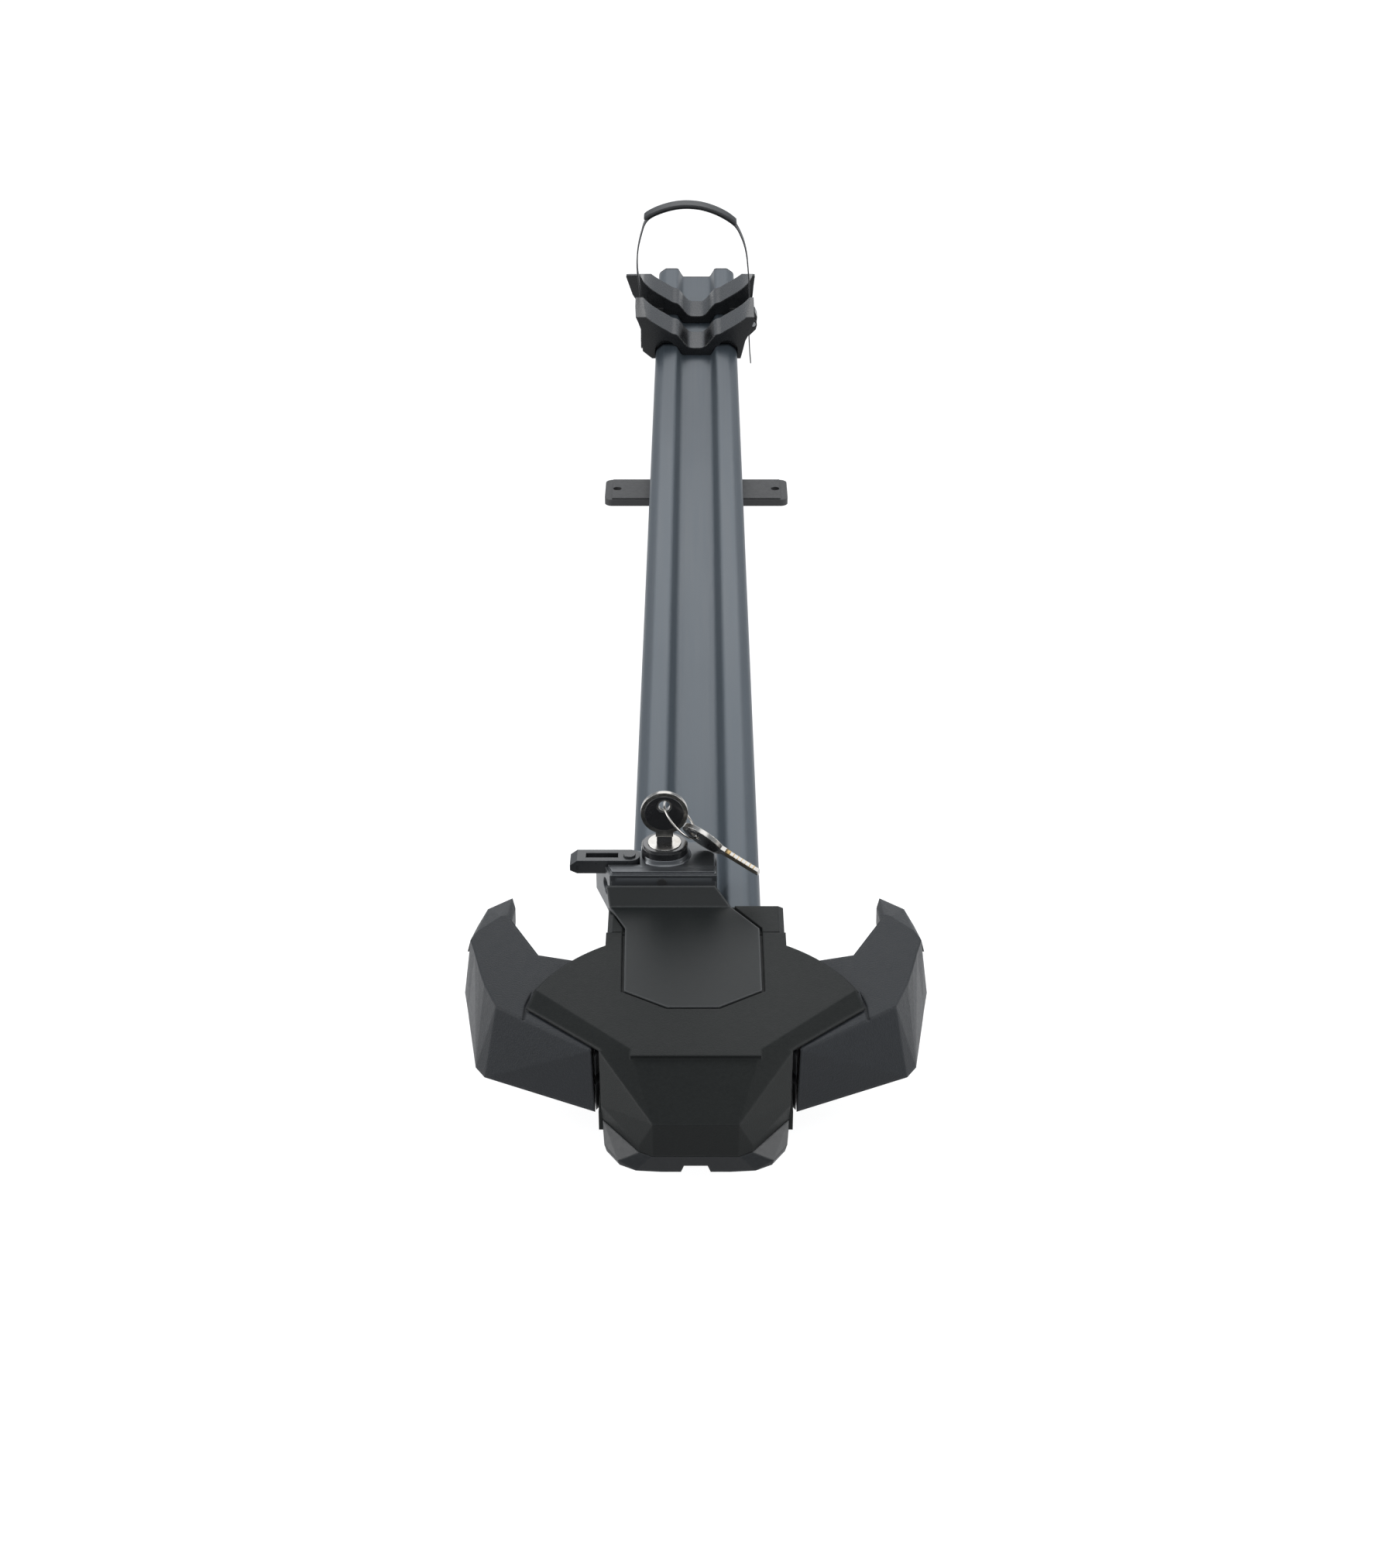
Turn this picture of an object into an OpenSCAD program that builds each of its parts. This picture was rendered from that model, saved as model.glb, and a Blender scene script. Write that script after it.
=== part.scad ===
// Roof mounted bike carrier: clamping head, channel tray, cross plate and strapped wheel cradle.
// Z = 0 is the top of the bars, X = 0 the middle of the tray, Y = 0 the middle of the front bar.

/* [Tray] */
// Width of the tray
tray_w = 75; // [70:0.5:84]
// Height of the tray profile
tray_h = 24.5; // [22:0.5:30]
// Where the tray begins inside the head
tray_front = 10; // [4:1:20]
// Where the tray ends
tray_rear = 1226; // [1180:1:1400]
// Width of each raised bump
bump_w = 16; // [12:0.5:18]
// Width of the floor of the wheel channel
floor_w = 26; // [22:1:32]
// Depth of the wheel channel
channel_d = 8.5; // [5:0.5:9.5]
// Wall of the extrusion
tray_wall = 2; // [1.6:0.1:2.4]
// Width of the slot in the underside
slot_w = 9; // [7:0.5:11]
// Width of the T chamber above the slot
tee_w = 21; // [18:0.5:22]
// Length of the end cap beyond the tray
cap_len = 3; // [2:0.5:6]

/* [Bar] */
// Width of the front bar from edge to edge
bar_w = 80; // [60:1:84]
// Height of the bar
bar_h = 30; // [24:1:36]

/* [Head] */
// Radius of the round cover
disc_r = 94.7; // [90:0.1:98]
// Centre of the round cover along the tray
disc_y = -77.6; // [-80:0.1:-74]
// Height of the cover's top
cover_z = 43; // [42:0.5:46]
// Wall of the cover
cover_t = 3; // [2:0.25:3.5]
// Half width of the nose where it leaves the cover
nose_x = 50.5; // [50:0.1:52]
// Front face of the nose
nose_y = -139.5; // [-146:0.5:-136]
// Height of the seam over the handle
seam_z = 9; // [8:0.5:11]
// Thickness of the floor of the base
base_t = 5; // [4:0.25:5]
// Thickness of the rubber seat
pad_t = 1.5; // [1:0.25:2.5]
// End of the round cover towards the tray
cover_end = 14; // [12:1:18]
// Rear edge of the collar
collar_end = 45; // [43:1:47]
// Half width of the collar
collar_x = 49.5; // [48:0.25:50]

/* [Claws] */
// Height of the claws' top face
claw_z = 38.5; // [36:0.25:38.75]
// Wall of the claws
claw_t = 3; // [2:0.25:4]
// Travel of the claws when they open
claw_travel = 12; // [6:1:12]
// Height of the yoke bar
yoke_h = 6; // [4:0.5:7]
// Depth of the yoke bar along the tray
yoke_d = 15; // [10:1:18]
// Width of each steel jaw
jaw_w = 12; // [8:1:14]
// Thickness of each steel jaw
jaw_t = 5; // [3:0.5:6]
// Thickness of the rubber on each jaw
jaw_pad_t = 1.5; // [1:0.25:2.5]

/* [Tower] */
// Left face of the tower
tower_x0 = -49; // [-50:0.5:-47]
// Right face of the tower
tower_x1 = 12; // [8:0.5:16]
// Front face of the tower
tower_y0 = 50.5; // [50:0.25:52]
// Rear face of the tower
tower_y1 = 85; // [84:0.5:92]
// Height of the tower's top
tower_z = 59; // [58:0.25:60]
// Diameter of the cross bore
bore_d = 10.4; // [8:0.2:12]
// Height of the cross bore
bore_z = 45; // [44:0.25:46]
// Width of the lock along the lever
lock_w = 26.6; // [26:0.1:27]
// Depth of the lock along the tray
lock_d = 24; // [22:0.25:24.5]
// Height of the lock above the tower
lock_h = 8; // [5:0.5:9]
// Diameter of the lock plug
plug_d = 19; // [16:0.25:19.5]
// Diameter of the key's bow
bow_d = 26.9; // [22:0.1:28]
// Diameter of the wire ring
ring_d = 26.5; // [26.2:0.1:28]

/* [Cross plate] */
// Width of the plate across the tray
plate_w = 150; // [140:1:180]
// Depth of the plate along the tray
plate_d = 42; // [36:1:50]
// Thickness of the plate
plate_t = 6.5; // [6.5:0.25:9]
// Centre of the plate along the tray
plate_y = 726; // [600:1:800]
// Spacing of the two holes
hole_span = 130; // [122:1:134]
// Diameter of the two holes
hole_d = 7; // [5:0.25:9]

/* [Cradle] */
// Front end of the cradle
cradle_y = 1000; // [980:1:1020]
// Length of each wide rib
rib_len = 44; // [40:1:50]
// Length of the open gap between the ribs
groove_len = 44; // [42:1:56]
// Height of the rear rib's arms above the tray
arm_h = 38.5; // [36:0.5:42]
// Height of the front rib's arms above the tray
front_arm_h = 32; // [30:0.5:35]
// Side wall of the cradle beside the tray
cradle_t = 3; // [2.5:0.25:4]
// Width of the strap
strap_w = 15; // [12:0.5:18]
// Thickness of the strap
strap_t = 1.2; // [1:0.1:1.6]
// Height of the strap's top above the tray
strap_h = 112; // [104:1:124]
// Width of the pad on the strap
pad_w = 17; // [16:0.5:20]
// Thickness of the pad on the strap
pad_h = 3; // [2:0.25:5]

/* [Hidden] */
$fn = 64;
// Running gap between parts that slide or turn on flat faces
gap = 0.35;
// Gap round pins and shafts
fit = 0.05;
// Underside of the tray, which lies on the base and on the cross plate
tray_z = pad_t + base_t;
tray_top = tray_z + tray_h;
// Inner face of the cover over the claws
under_z = cover_z - cover_t;
// Bevel of the disc's edge
disc_bevel = 1.5;
// Chord that cuts the front of the disc towards the nose
chord = [[-86.3, -41], [-33.8, -94.3]];
nose_back = -91;
// Side walls of the base
base_x = 46.5;
base_front = -84;
base_wall = 3;
// Yoke position
yoke_z = 17;
yoke_y = -45;
yoke_x = 110;
jaw_x = 108;
// Handle hinge
hinge_y = -103;
hinge_z = 5;
hinge_d = 6;
// Lock and lever
lock_x = -18;
lock_y = 70.7;
shelf_z = 52.5;
shelf_x = -31.7;
lever_x = -38;
lever_y = 66;
lever_tip = -72;
lever_h = 8.5;
lever_w = 12;
lever_pin_d = 4;
blade_w = 8.4;
blade_t = 2.2;
key_t = 2.6;
plug_z = 52;
bow_z = 87;
hole_z = 92;
key_hole_d = 6.4;
wire_d = 1.2;
// The ring leans from the key's hole towards the right
ring_lean = 43;
// The second key hangs from the low point of the ring
hang_turn = -27;
hang_pitch = 20;
hang_roll = -38;
// Cross plate fastening
screw_d = 6;
screw_head = 12;
screw_head_h = 3.5;
nut_h = 6;
nut_len = 26;
// Side groove of the tray that carries the cradle
groove_z = 12.5;
groove_h = 4;
groove_in = 3;
cradle_len = 2 * rib_len + groove_len;
cradle_mid = cradle_y + cradle_len / 2;
// Strap
strap_y = cradle_mid;
strap_end = tray_top + 15;
anchor_x = -49;
anchor_d = 5;
arm_z = tray_top + arm_h;
buckle_x = 53.6;
buckle_z = tray_top + 2;
buckle_pin_d = 4.2;

// Points of an arc in a plane, from angle a to angle b in n steps
function arc(c, r, a, b, n = 6) =
    [for (i = [0 : n]) c + r * [cos(a + (b - a) * i / n), sin(a + (b - a) * i / n)]];
function flip(pts) = [for (i = [len(pts) - 1 : -1 : 0]) [-pts[i][0], pts[i][1]]];
function both(pts) = concat(pts, flip(pts));

// Convex solid round a few corner points
module corners(pts)
    hull() polyhedron(points = pts, faces = [[for (i = [0 : len(pts) - 1]) i]]);

// The same corners on both sides of the middle plane
module twin_corners(pts)
    corners(concat(pts, [for (p = pts) [-p[0], p[1], p[2]]]));

// Extrusion along the tray of a drawing in X and Z
module along_y(y0, y1)
    translate([0, y1, 0]) rotate([90, 0, 0]) linear_extrude(y1 - y0) children();

// Box between two corners
module block(a, b)
    translate(a) cube(b - a);

// Shaft along X, Y or Z from a point
module shaft_x(p, d, l) translate(p) rotate([0, 90, 0]) cylinder(d = d, h = l);
module shaft_y(p, d, l) translate(p) rotate([-90, 0, 0]) cylinder(d = d, h = l);
module shaft_z(p, d, l) translate(p) cylinder(d = d, h = l);

// Right half of the tray's outer line, from the foot up over the bump to the channel
function tray_side(c) = let (
        w = tray_w / 2 + c,
        bump_in = floor_w / 2 + 4,
        bump_out = bump_in + bump_w,
        top = tray_h + c)
    concat(
        [[w - 1, -c], [w, 1 - c], [w, tray_h - 7.5]],
        arc([w - 5, tray_h - 7.5], 5, 12, 60, 4),
        arc([bump_out - 3.5, top - 3.5], 3.5, 60, 90, 3),
        arc([bump_in + 3 - c, top - 3], 3, 90, 170, 5),
        [[floor_w / 2 + 1 - c, tray_h - channel_d + 1 + c],
         [floor_w / 2 - c, tray_h - channel_d + c]]);

module tray_outline(c)
    translate([0, tray_z]) polygon(both(tray_side(c)));

// Hollow of one side chamber
module side_chamber()
    translate([0, tray_z]) let (
        w = tray_w / 2 - tray_wall,
        x0 = floor_w / 2 + tray_wall,
        z1 = tray_h - tray_wall)
    polygon(concat(
        [[x0, tray_wall], [w, tray_wall], [w, groove_z - tray_wall], [w - groove_in, groove_z - tray_wall],
         [w - groove_in, groove_z + groove_h + tray_wall]],
        arc([w - 4, tray_h - 8], 4, 42, 80, 3),
        [[floor_w / 2 + 2 + bump_w, z1], [x0 + 5.5, z1], [x0 + 3.5, z1 - 2],
         [x0, tray_h - channel_d - tray_wall]]));

module tray_section() {
    difference() {
        tray_outline(0);
        side_chamber();
        mirror([1, 0]) side_chamber();
        translate([-slot_w / 2, tray_z - 1]) square([slot_w, 6]);
        translate([-tee_w / 2, tray_z + 3]) square([tee_w, tray_h - channel_d - 3 - tray_wall]);
        for (s = [0, 1]) mirror([s, 0])
            translate([tray_w / 2 - groove_in, tray_z + groove_z]) square([groove_in + 1, groove_h]);
    }
}

// Places of the two screws that hold the tray to the base
screw_y = [bar_w / 2 - 18, bar_w / 2 - 6];
// Plugs of the end cap in the side chambers
plug_w = (tray_w - floor_w) / 2 - 3 * tray_wall - 4;
plug_mid = (tray_w + floor_w) / 4;

module tray_rail()
    color("slategray") difference() {
        along_y(tray_front, tray_rear) tray_section();
        for (y = screw_y)
            shaft_z([0, y, tray_top - channel_d - 4], 5, 6);
    }

module tray_end_cap()
    color("dimgray") difference() {
        union() {
            along_y(tray_rear, tray_rear + cap_len) tray_outline(0);
            for (s = [-1, 1])
                block([s * (plug_mid - plug_w / 2), tray_rear - 14, tray_z + tray_wall + 0.2],
                      [s * (plug_mid + plug_w / 2), tray_rear, tray_z + groove_z - tray_wall - 0.3]);
        }
        along_y(tray_rear - 1, tray_rear + cap_len + 1)
            translate([0, tray_z]) polygon([[-6, -1], [6, -1], [0, 9]]);
    }

module tray_screws()
    color("silver") for (y = screw_y)
        difference() {
            union() {
                shaft_z([0, y, pad_t + 1], 4.9, tray_top - channel_d - pad_t - 1);
                shaft_z([0, y, tray_top - channel_d], 8, 2.5);
            }
            translate([0, y, tray_top - channel_d + 1]) cylinder(d = 4, h = 2, $fn = 6);
        }

// Base of the head: floor on the bar, side walls with windows for the yoke, front wall and ribs
module head_base() {
    yoke_gap = 2;
    color("darkslategray") difference() {
        union() {
            block([-base_x, base_front, pad_t], [base_x, collar_end - 2, tray_z]);
            for (s = [-1, 1])
                block([s * (base_x - base_wall / 2) - base_wall / 2, base_front, tray_z],
                      [s * (base_x - base_wall / 2) + base_wall / 2, cover_end - 2, under_z]);
            block([-base_x, base_front, tray_z], [base_x, base_front + base_wall, under_z]);
            for (x = [-30, 30])
                block([x - 1.5, base_front, tray_z], [x + 1.5, yoke_y - 8, yoke_z - 3]);
            for (x = [-38, 38])
                shaft_z([x, -72, tray_z], 9, under_z - tray_z);
        }
        for (s = [-1, 1])
            block([s * base_x - base_wall - 1, yoke_y - yoke_gap, yoke_z - yoke_gap],
                  [s * base_x + base_wall + 1, yoke_y + yoke_d + claw_travel + yoke_gap,
                   yoke_z + yoke_h + yoke_gap]);
        block([-8, base_front - 1, yoke_z - yoke_gap], [8, base_front + base_wall + 1,
               yoke_z + yoke_h + yoke_gap]);
        // Room of the cover's bevels
        block([-base_x - 1, base_front - 1, under_z - 1], [base_x + 1, -60, under_z + 1]);
        for (y = screw_y) shaft_z([0, y, pad_t - 1], 5, base_t + 2);
    }
}

// Rubber seat on the bar, with grooves across
module seat_pad()
    color("black") difference() {
        block([-base_x + 2, -bar_w / 2 + 3, 0], [base_x - 2, bar_w / 2 - 3, pad_t]);
        for (y = [-bar_w / 2 + 12 : 8 : bar_w / 2 - 12])
            block([-base_x, y - 1, -1], [base_x, y + 1, 0.6]);
        for (y = screw_y) shaft_z([0, y, -1], 6.6, pad_t + 2);
    }

// Two fixed steel hooks in front of the bar
module front_hooks()
    color("silver") for (x = [-30, 30])
        along_x(x - 11, x + 11) polygon([
            [-bar_w / 2 - 8, pad_t], [-bar_w / 2 - 0.3, pad_t], [-bar_w / 2 - 0.3, -bar_h + 8],
            [-bar_w / 2 + 2.5, -bar_h + 4], [-bar_w / 2 + 2.5, -bar_h],
            [-bar_w / 2 - 4, -bar_h], [-bar_w / 2 - 8, -bar_h + 4]]);

// Extrusion across the tray of a drawing in Y and Z
module along_x(x0, x1)
    translate([x0, 0, 0]) rotate([90, 0, 90]) linear_extrude(x1 - x0) children();

// Plan of the cover: round plate cut by a chord on each side, with the square part at the back
module cover_plan(grow = 0) {
    intersection() {
        translate([0, disc_y]) circle(r = disc_r - disc_bevel + grow);
        polygon([[-120, chord[0][1]], chord[0], chord[1], [chord[1][0], -100], [-chord[1][0], -100],
                 [-chord[1][0], chord[1][1]], [-chord[0][0], chord[0][1]], [120, chord[0][1]],
                 [120, cover_end], [-120, cover_end]]);
    }
    translate([-50, -75]) square([100, cover_end + 75]);
}

// Corner points of the nose; t is the wall left off inside
function nose_pts(t) = [
    [nose_x - t, -87, seam_z - t], [nose_x - t, nose_back, cover_z - 3.8 - t],
    [-chord[1][0] - t, chord[1][1], cover_z - t], [-chord[1][0] - t, -87, cover_z - t],
    [21.9 - t, nose_y + t, 29 - t], [22 - t, nose_y + t, seam_z - t],
    [29 - t, nose_y + 3.9 + t, seam_z + 4 - t], [29 - t, nose_y + 3.9 + t, seam_z - t],
    [49 - t, -109 + t, seam_z + 9 - t], [48.3 - t, -109 + t, seam_z - t]];

// Outline of the flush panel on the cover, and its part that climbs to the tower
panel_bend = 40;
panel_end = tower_y0 - 0.5;
panel_rise = 8;
function panel_plan(g) = [
    [-38.6 - g, -42 - g * 0.6], [-15 - g * 0.5, -57 - g], [12 + g * 0.5, -57 - g],
    [35.5 + g, -41.6 - g * 0.6], [35.5 + g, 18 + g * 0.6], [19.8 + g, panel_bend + g],
    [-49 - g, panel_bend + g], [-39.6 - g, 18.5]];

module head_cover() {
    bevel_low = under_z - 0.8;
    color("dimgray") difference() {
        union() {
            translate([0, 0, under_z]) linear_extrude(cover_t - disc_bevel) cover_plan(disc_bevel);
            translate([0, 0, cover_z - disc_bevel]) linear_extrude(disc_bevel) cover_plan();
            // Bevelled faces in front of both chords
            for (s = [0, 1]) mirror([s, 0, 0])
                corners([[chord[0][0], chord[0][1], cover_z], [chord[1][0], chord[1][1], cover_z],
                         [chord[1][0], chord[1][1] + 8, cover_z], [chord[0][0] + 10, chord[0][1] + 8, cover_z],
                         [-90.5, -54, bevel_low], [-53.3, -85, bevel_low], [-nose_x, nose_back, bevel_low],
                         [chord[1][0], chord[1][1] + 8, bevel_low],
                         [chord[0][0] + 10, chord[0][1] + 8, bevel_low]]);
            twin_corners(nose_pts(0));
            // Skirts beside the hinge and beside the tray
            for (s = [-1, 1]) {
                block([s * 48.75 - 1.75, hinge_y - 5, 1.2], [s * 48.75 + 1.75, -87, seam_z + 4]);
                block([s * 48.5 - 1.5, -6, tray_z], [s * 48.5 + 1.5, cover_end, under_z]);
            }
        }
        // Hollow of the nose, open to the back and below
        twin_corners(concat(nose_pts(cover_t), [[nose_x - cover_t, -80, -5], [nose_x - cover_t, -80, 35],
            [nose_x - cover_t, -100, -5], [22 - cover_t, nose_y + cover_t, -5],
            [29 - cover_t, nose_y + 3.9 + cover_t, -5], [48.3 - cover_t, -109 + cover_t, -5]]));
        // Recess of the panel
        translate([0, 0, cover_z - 2]) linear_extrude(3) polygon(panel_plan(1.6));
        block([-51, panel_bend, cover_z - 2], [30, panel_bend + 30, cover_z + 3]);
        // Bores of the handle's pin
        shaft_x([-60, hinge_y, hinge_z], hinge_d, 120);
    }
}

// Sleeve between the cover and the tower, over the end of the tray
module rear_collar() {
    z1 = cover_z;
    color("dimgray") difference() {
        along_y(cover_end + 0.6, collar_end) polygon([
            [-collar_x, tray_z], [collar_x, tray_z], [collar_x, z1 - 3], [collar_x - 3, z1],
            [3 - collar_x, z1], [-collar_x, z1 - 3]]);
        // Slanted rear edge
        along_x(-collar_x - 1, collar_x + 1)
            polygon([[collar_end + 1, z1 - 6], [collar_end + 1, z1 + 1], [collar_end - 5, z1 + 1]]);
        along_y(collar_end - 4, collar_end + 1) tray_outline(0);
        block([-tray_w / 2 - 2, cover_end, tray_z - 1], [tray_w / 2 + 2, collar_end - 3, tray_top + 4]);
        // Seat of the panel
        translate([0, 0, z1 - 2]) linear_extrude(5) polygon(panel_plan(1.6));
        block([-58, panel_bend - 5, z1 - 2], [22, panel_bend + 12, z1 + 6]);
    }
}

module tower_panel()
    color("gray") {
        translate([0, 0, cover_z - 2]) linear_extrude(2) polygon(panel_plan(0));
        corners([for (x = [[-49, -51], [19.8, 11]], t = [-2, 0])
            each [[x[0], panel_bend, cover_z + t], [x[1], panel_end, cover_z + panel_rise + t]]]);
    }

// Metal tower with the cross bore, the shelf of the lever and the bore of the lock
module tower_block() {
    lever_in = lever_w / 2 + 0.5;
    color("gray") difference() {
        union() {
            translate([0, 0, tray_top]) linear_extrude(tower_z - 1.5 - tray_top) polygon(tower_plan(0));
            translate([0, 0, tower_z - 1.5]) linear_extrude(1.5) polygon(tower_plan(1.5));
            translate([lock_x, lock_y, 0]) lock_boss(lock_w, lock_d, tower_z - 3, 3);
        }
        shaft_x([-70, tower_y0 + 8.5, bore_z], bore_d, 100);
        // Front face set back between the two cheeks, under the lip of the top
        block([tower_x0 + 3.5, tower_y0 - 1, tray_top - 1], [tower_x1 - 3, tower_y0 + 1.4, tower_z - 3.2]);
        // Hole in the front face
        shaft_y([-19.5, tower_y0 - 1, 48], 7.8, 6);
        // Open shelf on which the lever turns
        translate([0, 0, shelf_z]) linear_extrude(tower_z) polygon([[tower_x0 - 20, lever_y - lever_in],
            [shelf_x, lever_y - lever_in], [shelf_x, lever_y], [shelf_x + 2.2, tower_y1 + 1],
            [tower_x0 - 20, tower_y1 + 1]]);
        shaft_z([lock_x, lock_y, plug_z - 0.5], plug_d + 2 * fit, 20);
        shaft_z([lever_x, lever_y, shelf_z - 8.4], lever_pin_d, 10);
    }
}

function tower_plan(g) = [
    [tower_x0 + g, tower_y0 + g], [tower_x1 - g, tower_y0 + g], [tower_x1 - g, tower_y1 - 4 - g],
    [tower_x1 - 4 - g, tower_y1 - g], [tower_x0 - 6 + g, tower_y1 - g], [tower_x0 - 9 + g, tower_y1 - 6],
    [tower_x0 - 3 + g, tower_y0 + 10]];

module lock_boss(w, d, z, h)
    translate([0, 0, z]) {
        for (s = [-1, 1]) translate([s * (w - d) / 2, 0, 0]) cylinder(d = d, h = h);
        translate([-(w - d) / 2, -d / 2, 0]) cube([w - d, d, h]);
    }

module lock_bezel()
    color("black") difference() {
        translate([lock_x, lock_y, 0]) {
            lock_boss(lock_w, lock_d, tower_z, lock_h - 1);
            lock_boss(lock_w - 2, lock_d - 2, tower_z + lock_h - 1, 1);
        }
        shaft_z([lock_x, lock_y, tower_z - 1], plug_d + 2 * fit, lock_h + 2);
    }

module lock_plug()
    color("silver") difference() {
        shaft_z([lock_x, lock_y, plug_z], plug_d, tower_z + lock_h + 0.5 - plug_z);
        block([lock_x - blade_w / 2 - 0.2, lock_y - blade_t / 2 - 0.15, plug_z + 1],
              [lock_x + blade_w / 2 + 0.2, lock_y + blade_t / 2 + 0.15, tower_z + 20]);
    }

// Flat loop lever that turns on an upright pin
module lever() {
    z0 = shelf_z + 0.3;
    color("black") difference() {
        union() {
            shaft_z([lever_x, lever_y, z0], lever_w, lever_h);
            block([lever_tip + 4, lever_y - lever_w / 2, z0], [lever_x, lever_y + lever_w / 2, z0 + lever_h]);
            corners([for (y = [-1, 1], p = [[lever_tip + 4, 0], [lever_tip + 4, lever_h],
                [lever_tip, 2], [lever_tip, lever_h - 3]])
                [p[0], lever_y + y * lever_w / 2, z0 + p[1]]]);
        }
        block([lever_tip + 9, lever_y - 2.5, z0 - 1], [lever_x - 6.5, lever_y + 2.5, z0 + lever_h + 1]);
        shaft_z([lever_x, lever_y, z0 - 1], lever_pin_d + 2 * fit, lever_h + 2);
    }
}

module lever_pin()
    color("silver") {
        shaft_z([lever_x, lever_y, shelf_z - 8], lever_pin_d, lever_h + 8.4);
        shaft_z([lever_x, lever_y, shelf_z + lever_h + 0.4], lever_pin_d + 3, 1);
    }

// Key with round bow; drawn from its ring hole at the origin, blade towards -Z
module key_shape(len) {
    rad = bow_d / 2;
    difference() {
        union() {
            shaft_y([0, -key_t / 2, bow_z - hole_z], bow_d, key_t);
            block([-5, -key_t / 2, bow_z - hole_z - rad - 2], [5, key_t / 2, bow_z - hole_z - rad + 3]);
            block([-blade_w / 2, -blade_t / 2, bow_z - hole_z - rad - 2 - len],
                  [blade_w / 2, blade_t / 2, bow_z - hole_z - rad]);
        }
        shaft_y([0, -5, 0], key_hole_d, 10);
        for (s = [-1, 1])
            block([s * 1.6 - 0.5, s * blade_t / 2 - 0.5, bow_z - hole_z - rad - 3 - len],
                  [s * 1.6 + 0.5, s * blade_t / 2 + 0.5, bow_z - hole_z - rad - 2.5]);
    }
}

module key()
    color("silver") translate([lock_x, lock_y, hole_z])
        key_shape(bow_z - bow_d / 2 - 2 - plug_z - 1.5);

ring_low = [lock_x + ring_d * sin(ring_lean), lock_y, hole_z - ring_d * cos(ring_lean)];

module key_ring()
    color("gainsboro") translate((ring_low + [lock_x, lock_y, hole_z]) / 2)
        rotate([0, 90 - ring_lean, 0]) rotate_extrude() translate([ring_d / 2, 0]) circle(d = wire_d, $fn = 16);

module second_key()
    color("silver") translate(ring_low)
        rotate([0, 0, hang_turn]) rotate([0, hang_pitch - 90, 0]) rotate([0, 0, hang_roll])
            key_shape(22);

// Corner points of the left claw: foot, crease of the top and rear tip
module claw(t = 0) {
    top = claw_z - t;
    foot = [[-131 + t, 17, 0], [-126 + t, -12.5, 0], [-119.3 + t, -53 + t, 0], [-113.8 + t, -61.8 + t, 0],
        [-53.1 - t, -91.6 + t, 0]];
    // Front arm with the dark panel
    corners([[-107 + t, -50 + t, top], [-54.5 - t, -89.4 + t, top], [-54.5 - t, -50, top], [-100, -20, top],
        [-112 + t, -37, top], foot[3], foot[4], foot[2], [-53.1 - t, -50, 0], [-100, -20, 0]]);
    // Side wall and top face beside the round cover
    corners([[-107 + t, -50 + t, top], [-114.8 + t, -29.5, top], [-118.6 + t, -15.5, top],
        [-122.2 + t, 0, top], [-66, -7.5 - t, top], [-66, -30, top], [-87 - t, -1.8 - t, top],
        foot[2], foot[1], [-128 + t, 0, 0], [-66, -7.5 - t, 0], [-87 - t, -1.8 - t, 0], [-66, -30, 0]]);
    // Root under the cover
    corners([[-53.5 - t, -14, top], [-53.5 - t, -60, top], [-90, -60, top], [-90, -6, top], [-66, -7.5 - t, top],
        [-53.5 - t, -14, 12], [-53.5 - t, -60, 12], [-90, -60, 12], [-90, -6, 12], [-66, -7.5 - t, 12]]);
    // Wing that rises to the tip
    corners([[-122.2 + t, 0, top], [-125.7 + t, 13.2, top], [-122.4 + t, 22.2 - t, top],
        [-110.5, 37.3 - t, top], [-107 - t, 38.8 - t, top], [-90.5 - t, 2 - t, top], [-87 - t, -1.8 - t, top],
        [-128 + t, 0, 0], foot[0], [-127 + t, 30 - t, 12], [-106 - t, 36 - t, 12],
        [-90.5 - t, 2 - t, 0], [-87 - t, -1.8 - t, 0]]);
}

module claw_tip()
    corners([[-125.7, 13.2, claw_z], [-122.4, 22.2, claw_z], [-110.5, 37.3, claw_z], [-107, 38.8, claw_z],
        [-104, 31, claw_z], [-124, 38.7, 31], [-119.6, 56, 31], [-106.2, 67.5, 31], [-103.8, 57, 31],
        [-128.5, 20, 26], [-123, 38.7, 24], [-118.6, 54, 23], [-107, 64.5, 21], [-104, 57, 21], [-104, 31, 21]]);

module claw_left()
    color("dimgray") difference() {
        union() {
            claw();
            claw_tip();
        }
        difference() {
            translate([0, 0, -0.01]) claw(claw_t);
            // Boss that seats on the yoke
            block([-yoke_x + 4, yoke_y, yoke_z + yoke_h], [-60, yoke_y + yoke_d, claw_z]);
        }
        // Way in for the yoke and open back of the root
        block([-80, yoke_y, -1], [-50, yoke_y + yoke_d, yoke_z + yoke_h]);
        block([-106, -28, -1], [-50, -12, yoke_z + yoke_h]);
        // Seat of the jaw under the tip
        block([-jaw_x - jaw_w / 2 - 0.1, 0, -1], [-jaw_x + jaw_w / 2 + 0.1, jaw_back + 0.1, yoke_z]);
        // Step along the front panel
        corners([[-88.5, -36, claw_z + 1], [-91.5, -49, claw_z + 1], [-92.2, -62, claw_z + 1],
            [-90.8, -62.2, claw_z + 1], [-90, -49, claw_z + 1], [-88.5, -36, claw_z - 0.8],
            [-91.5, -49, claw_z - 0.8], [-92.2, -62, claw_z - 0.8], [-90.8, -62.2, claw_z - 0.8],
            [-90, -49, claw_z - 0.8]]);
    }

module claw_right() mirror([1, 0, 0]) claw_left();

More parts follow.
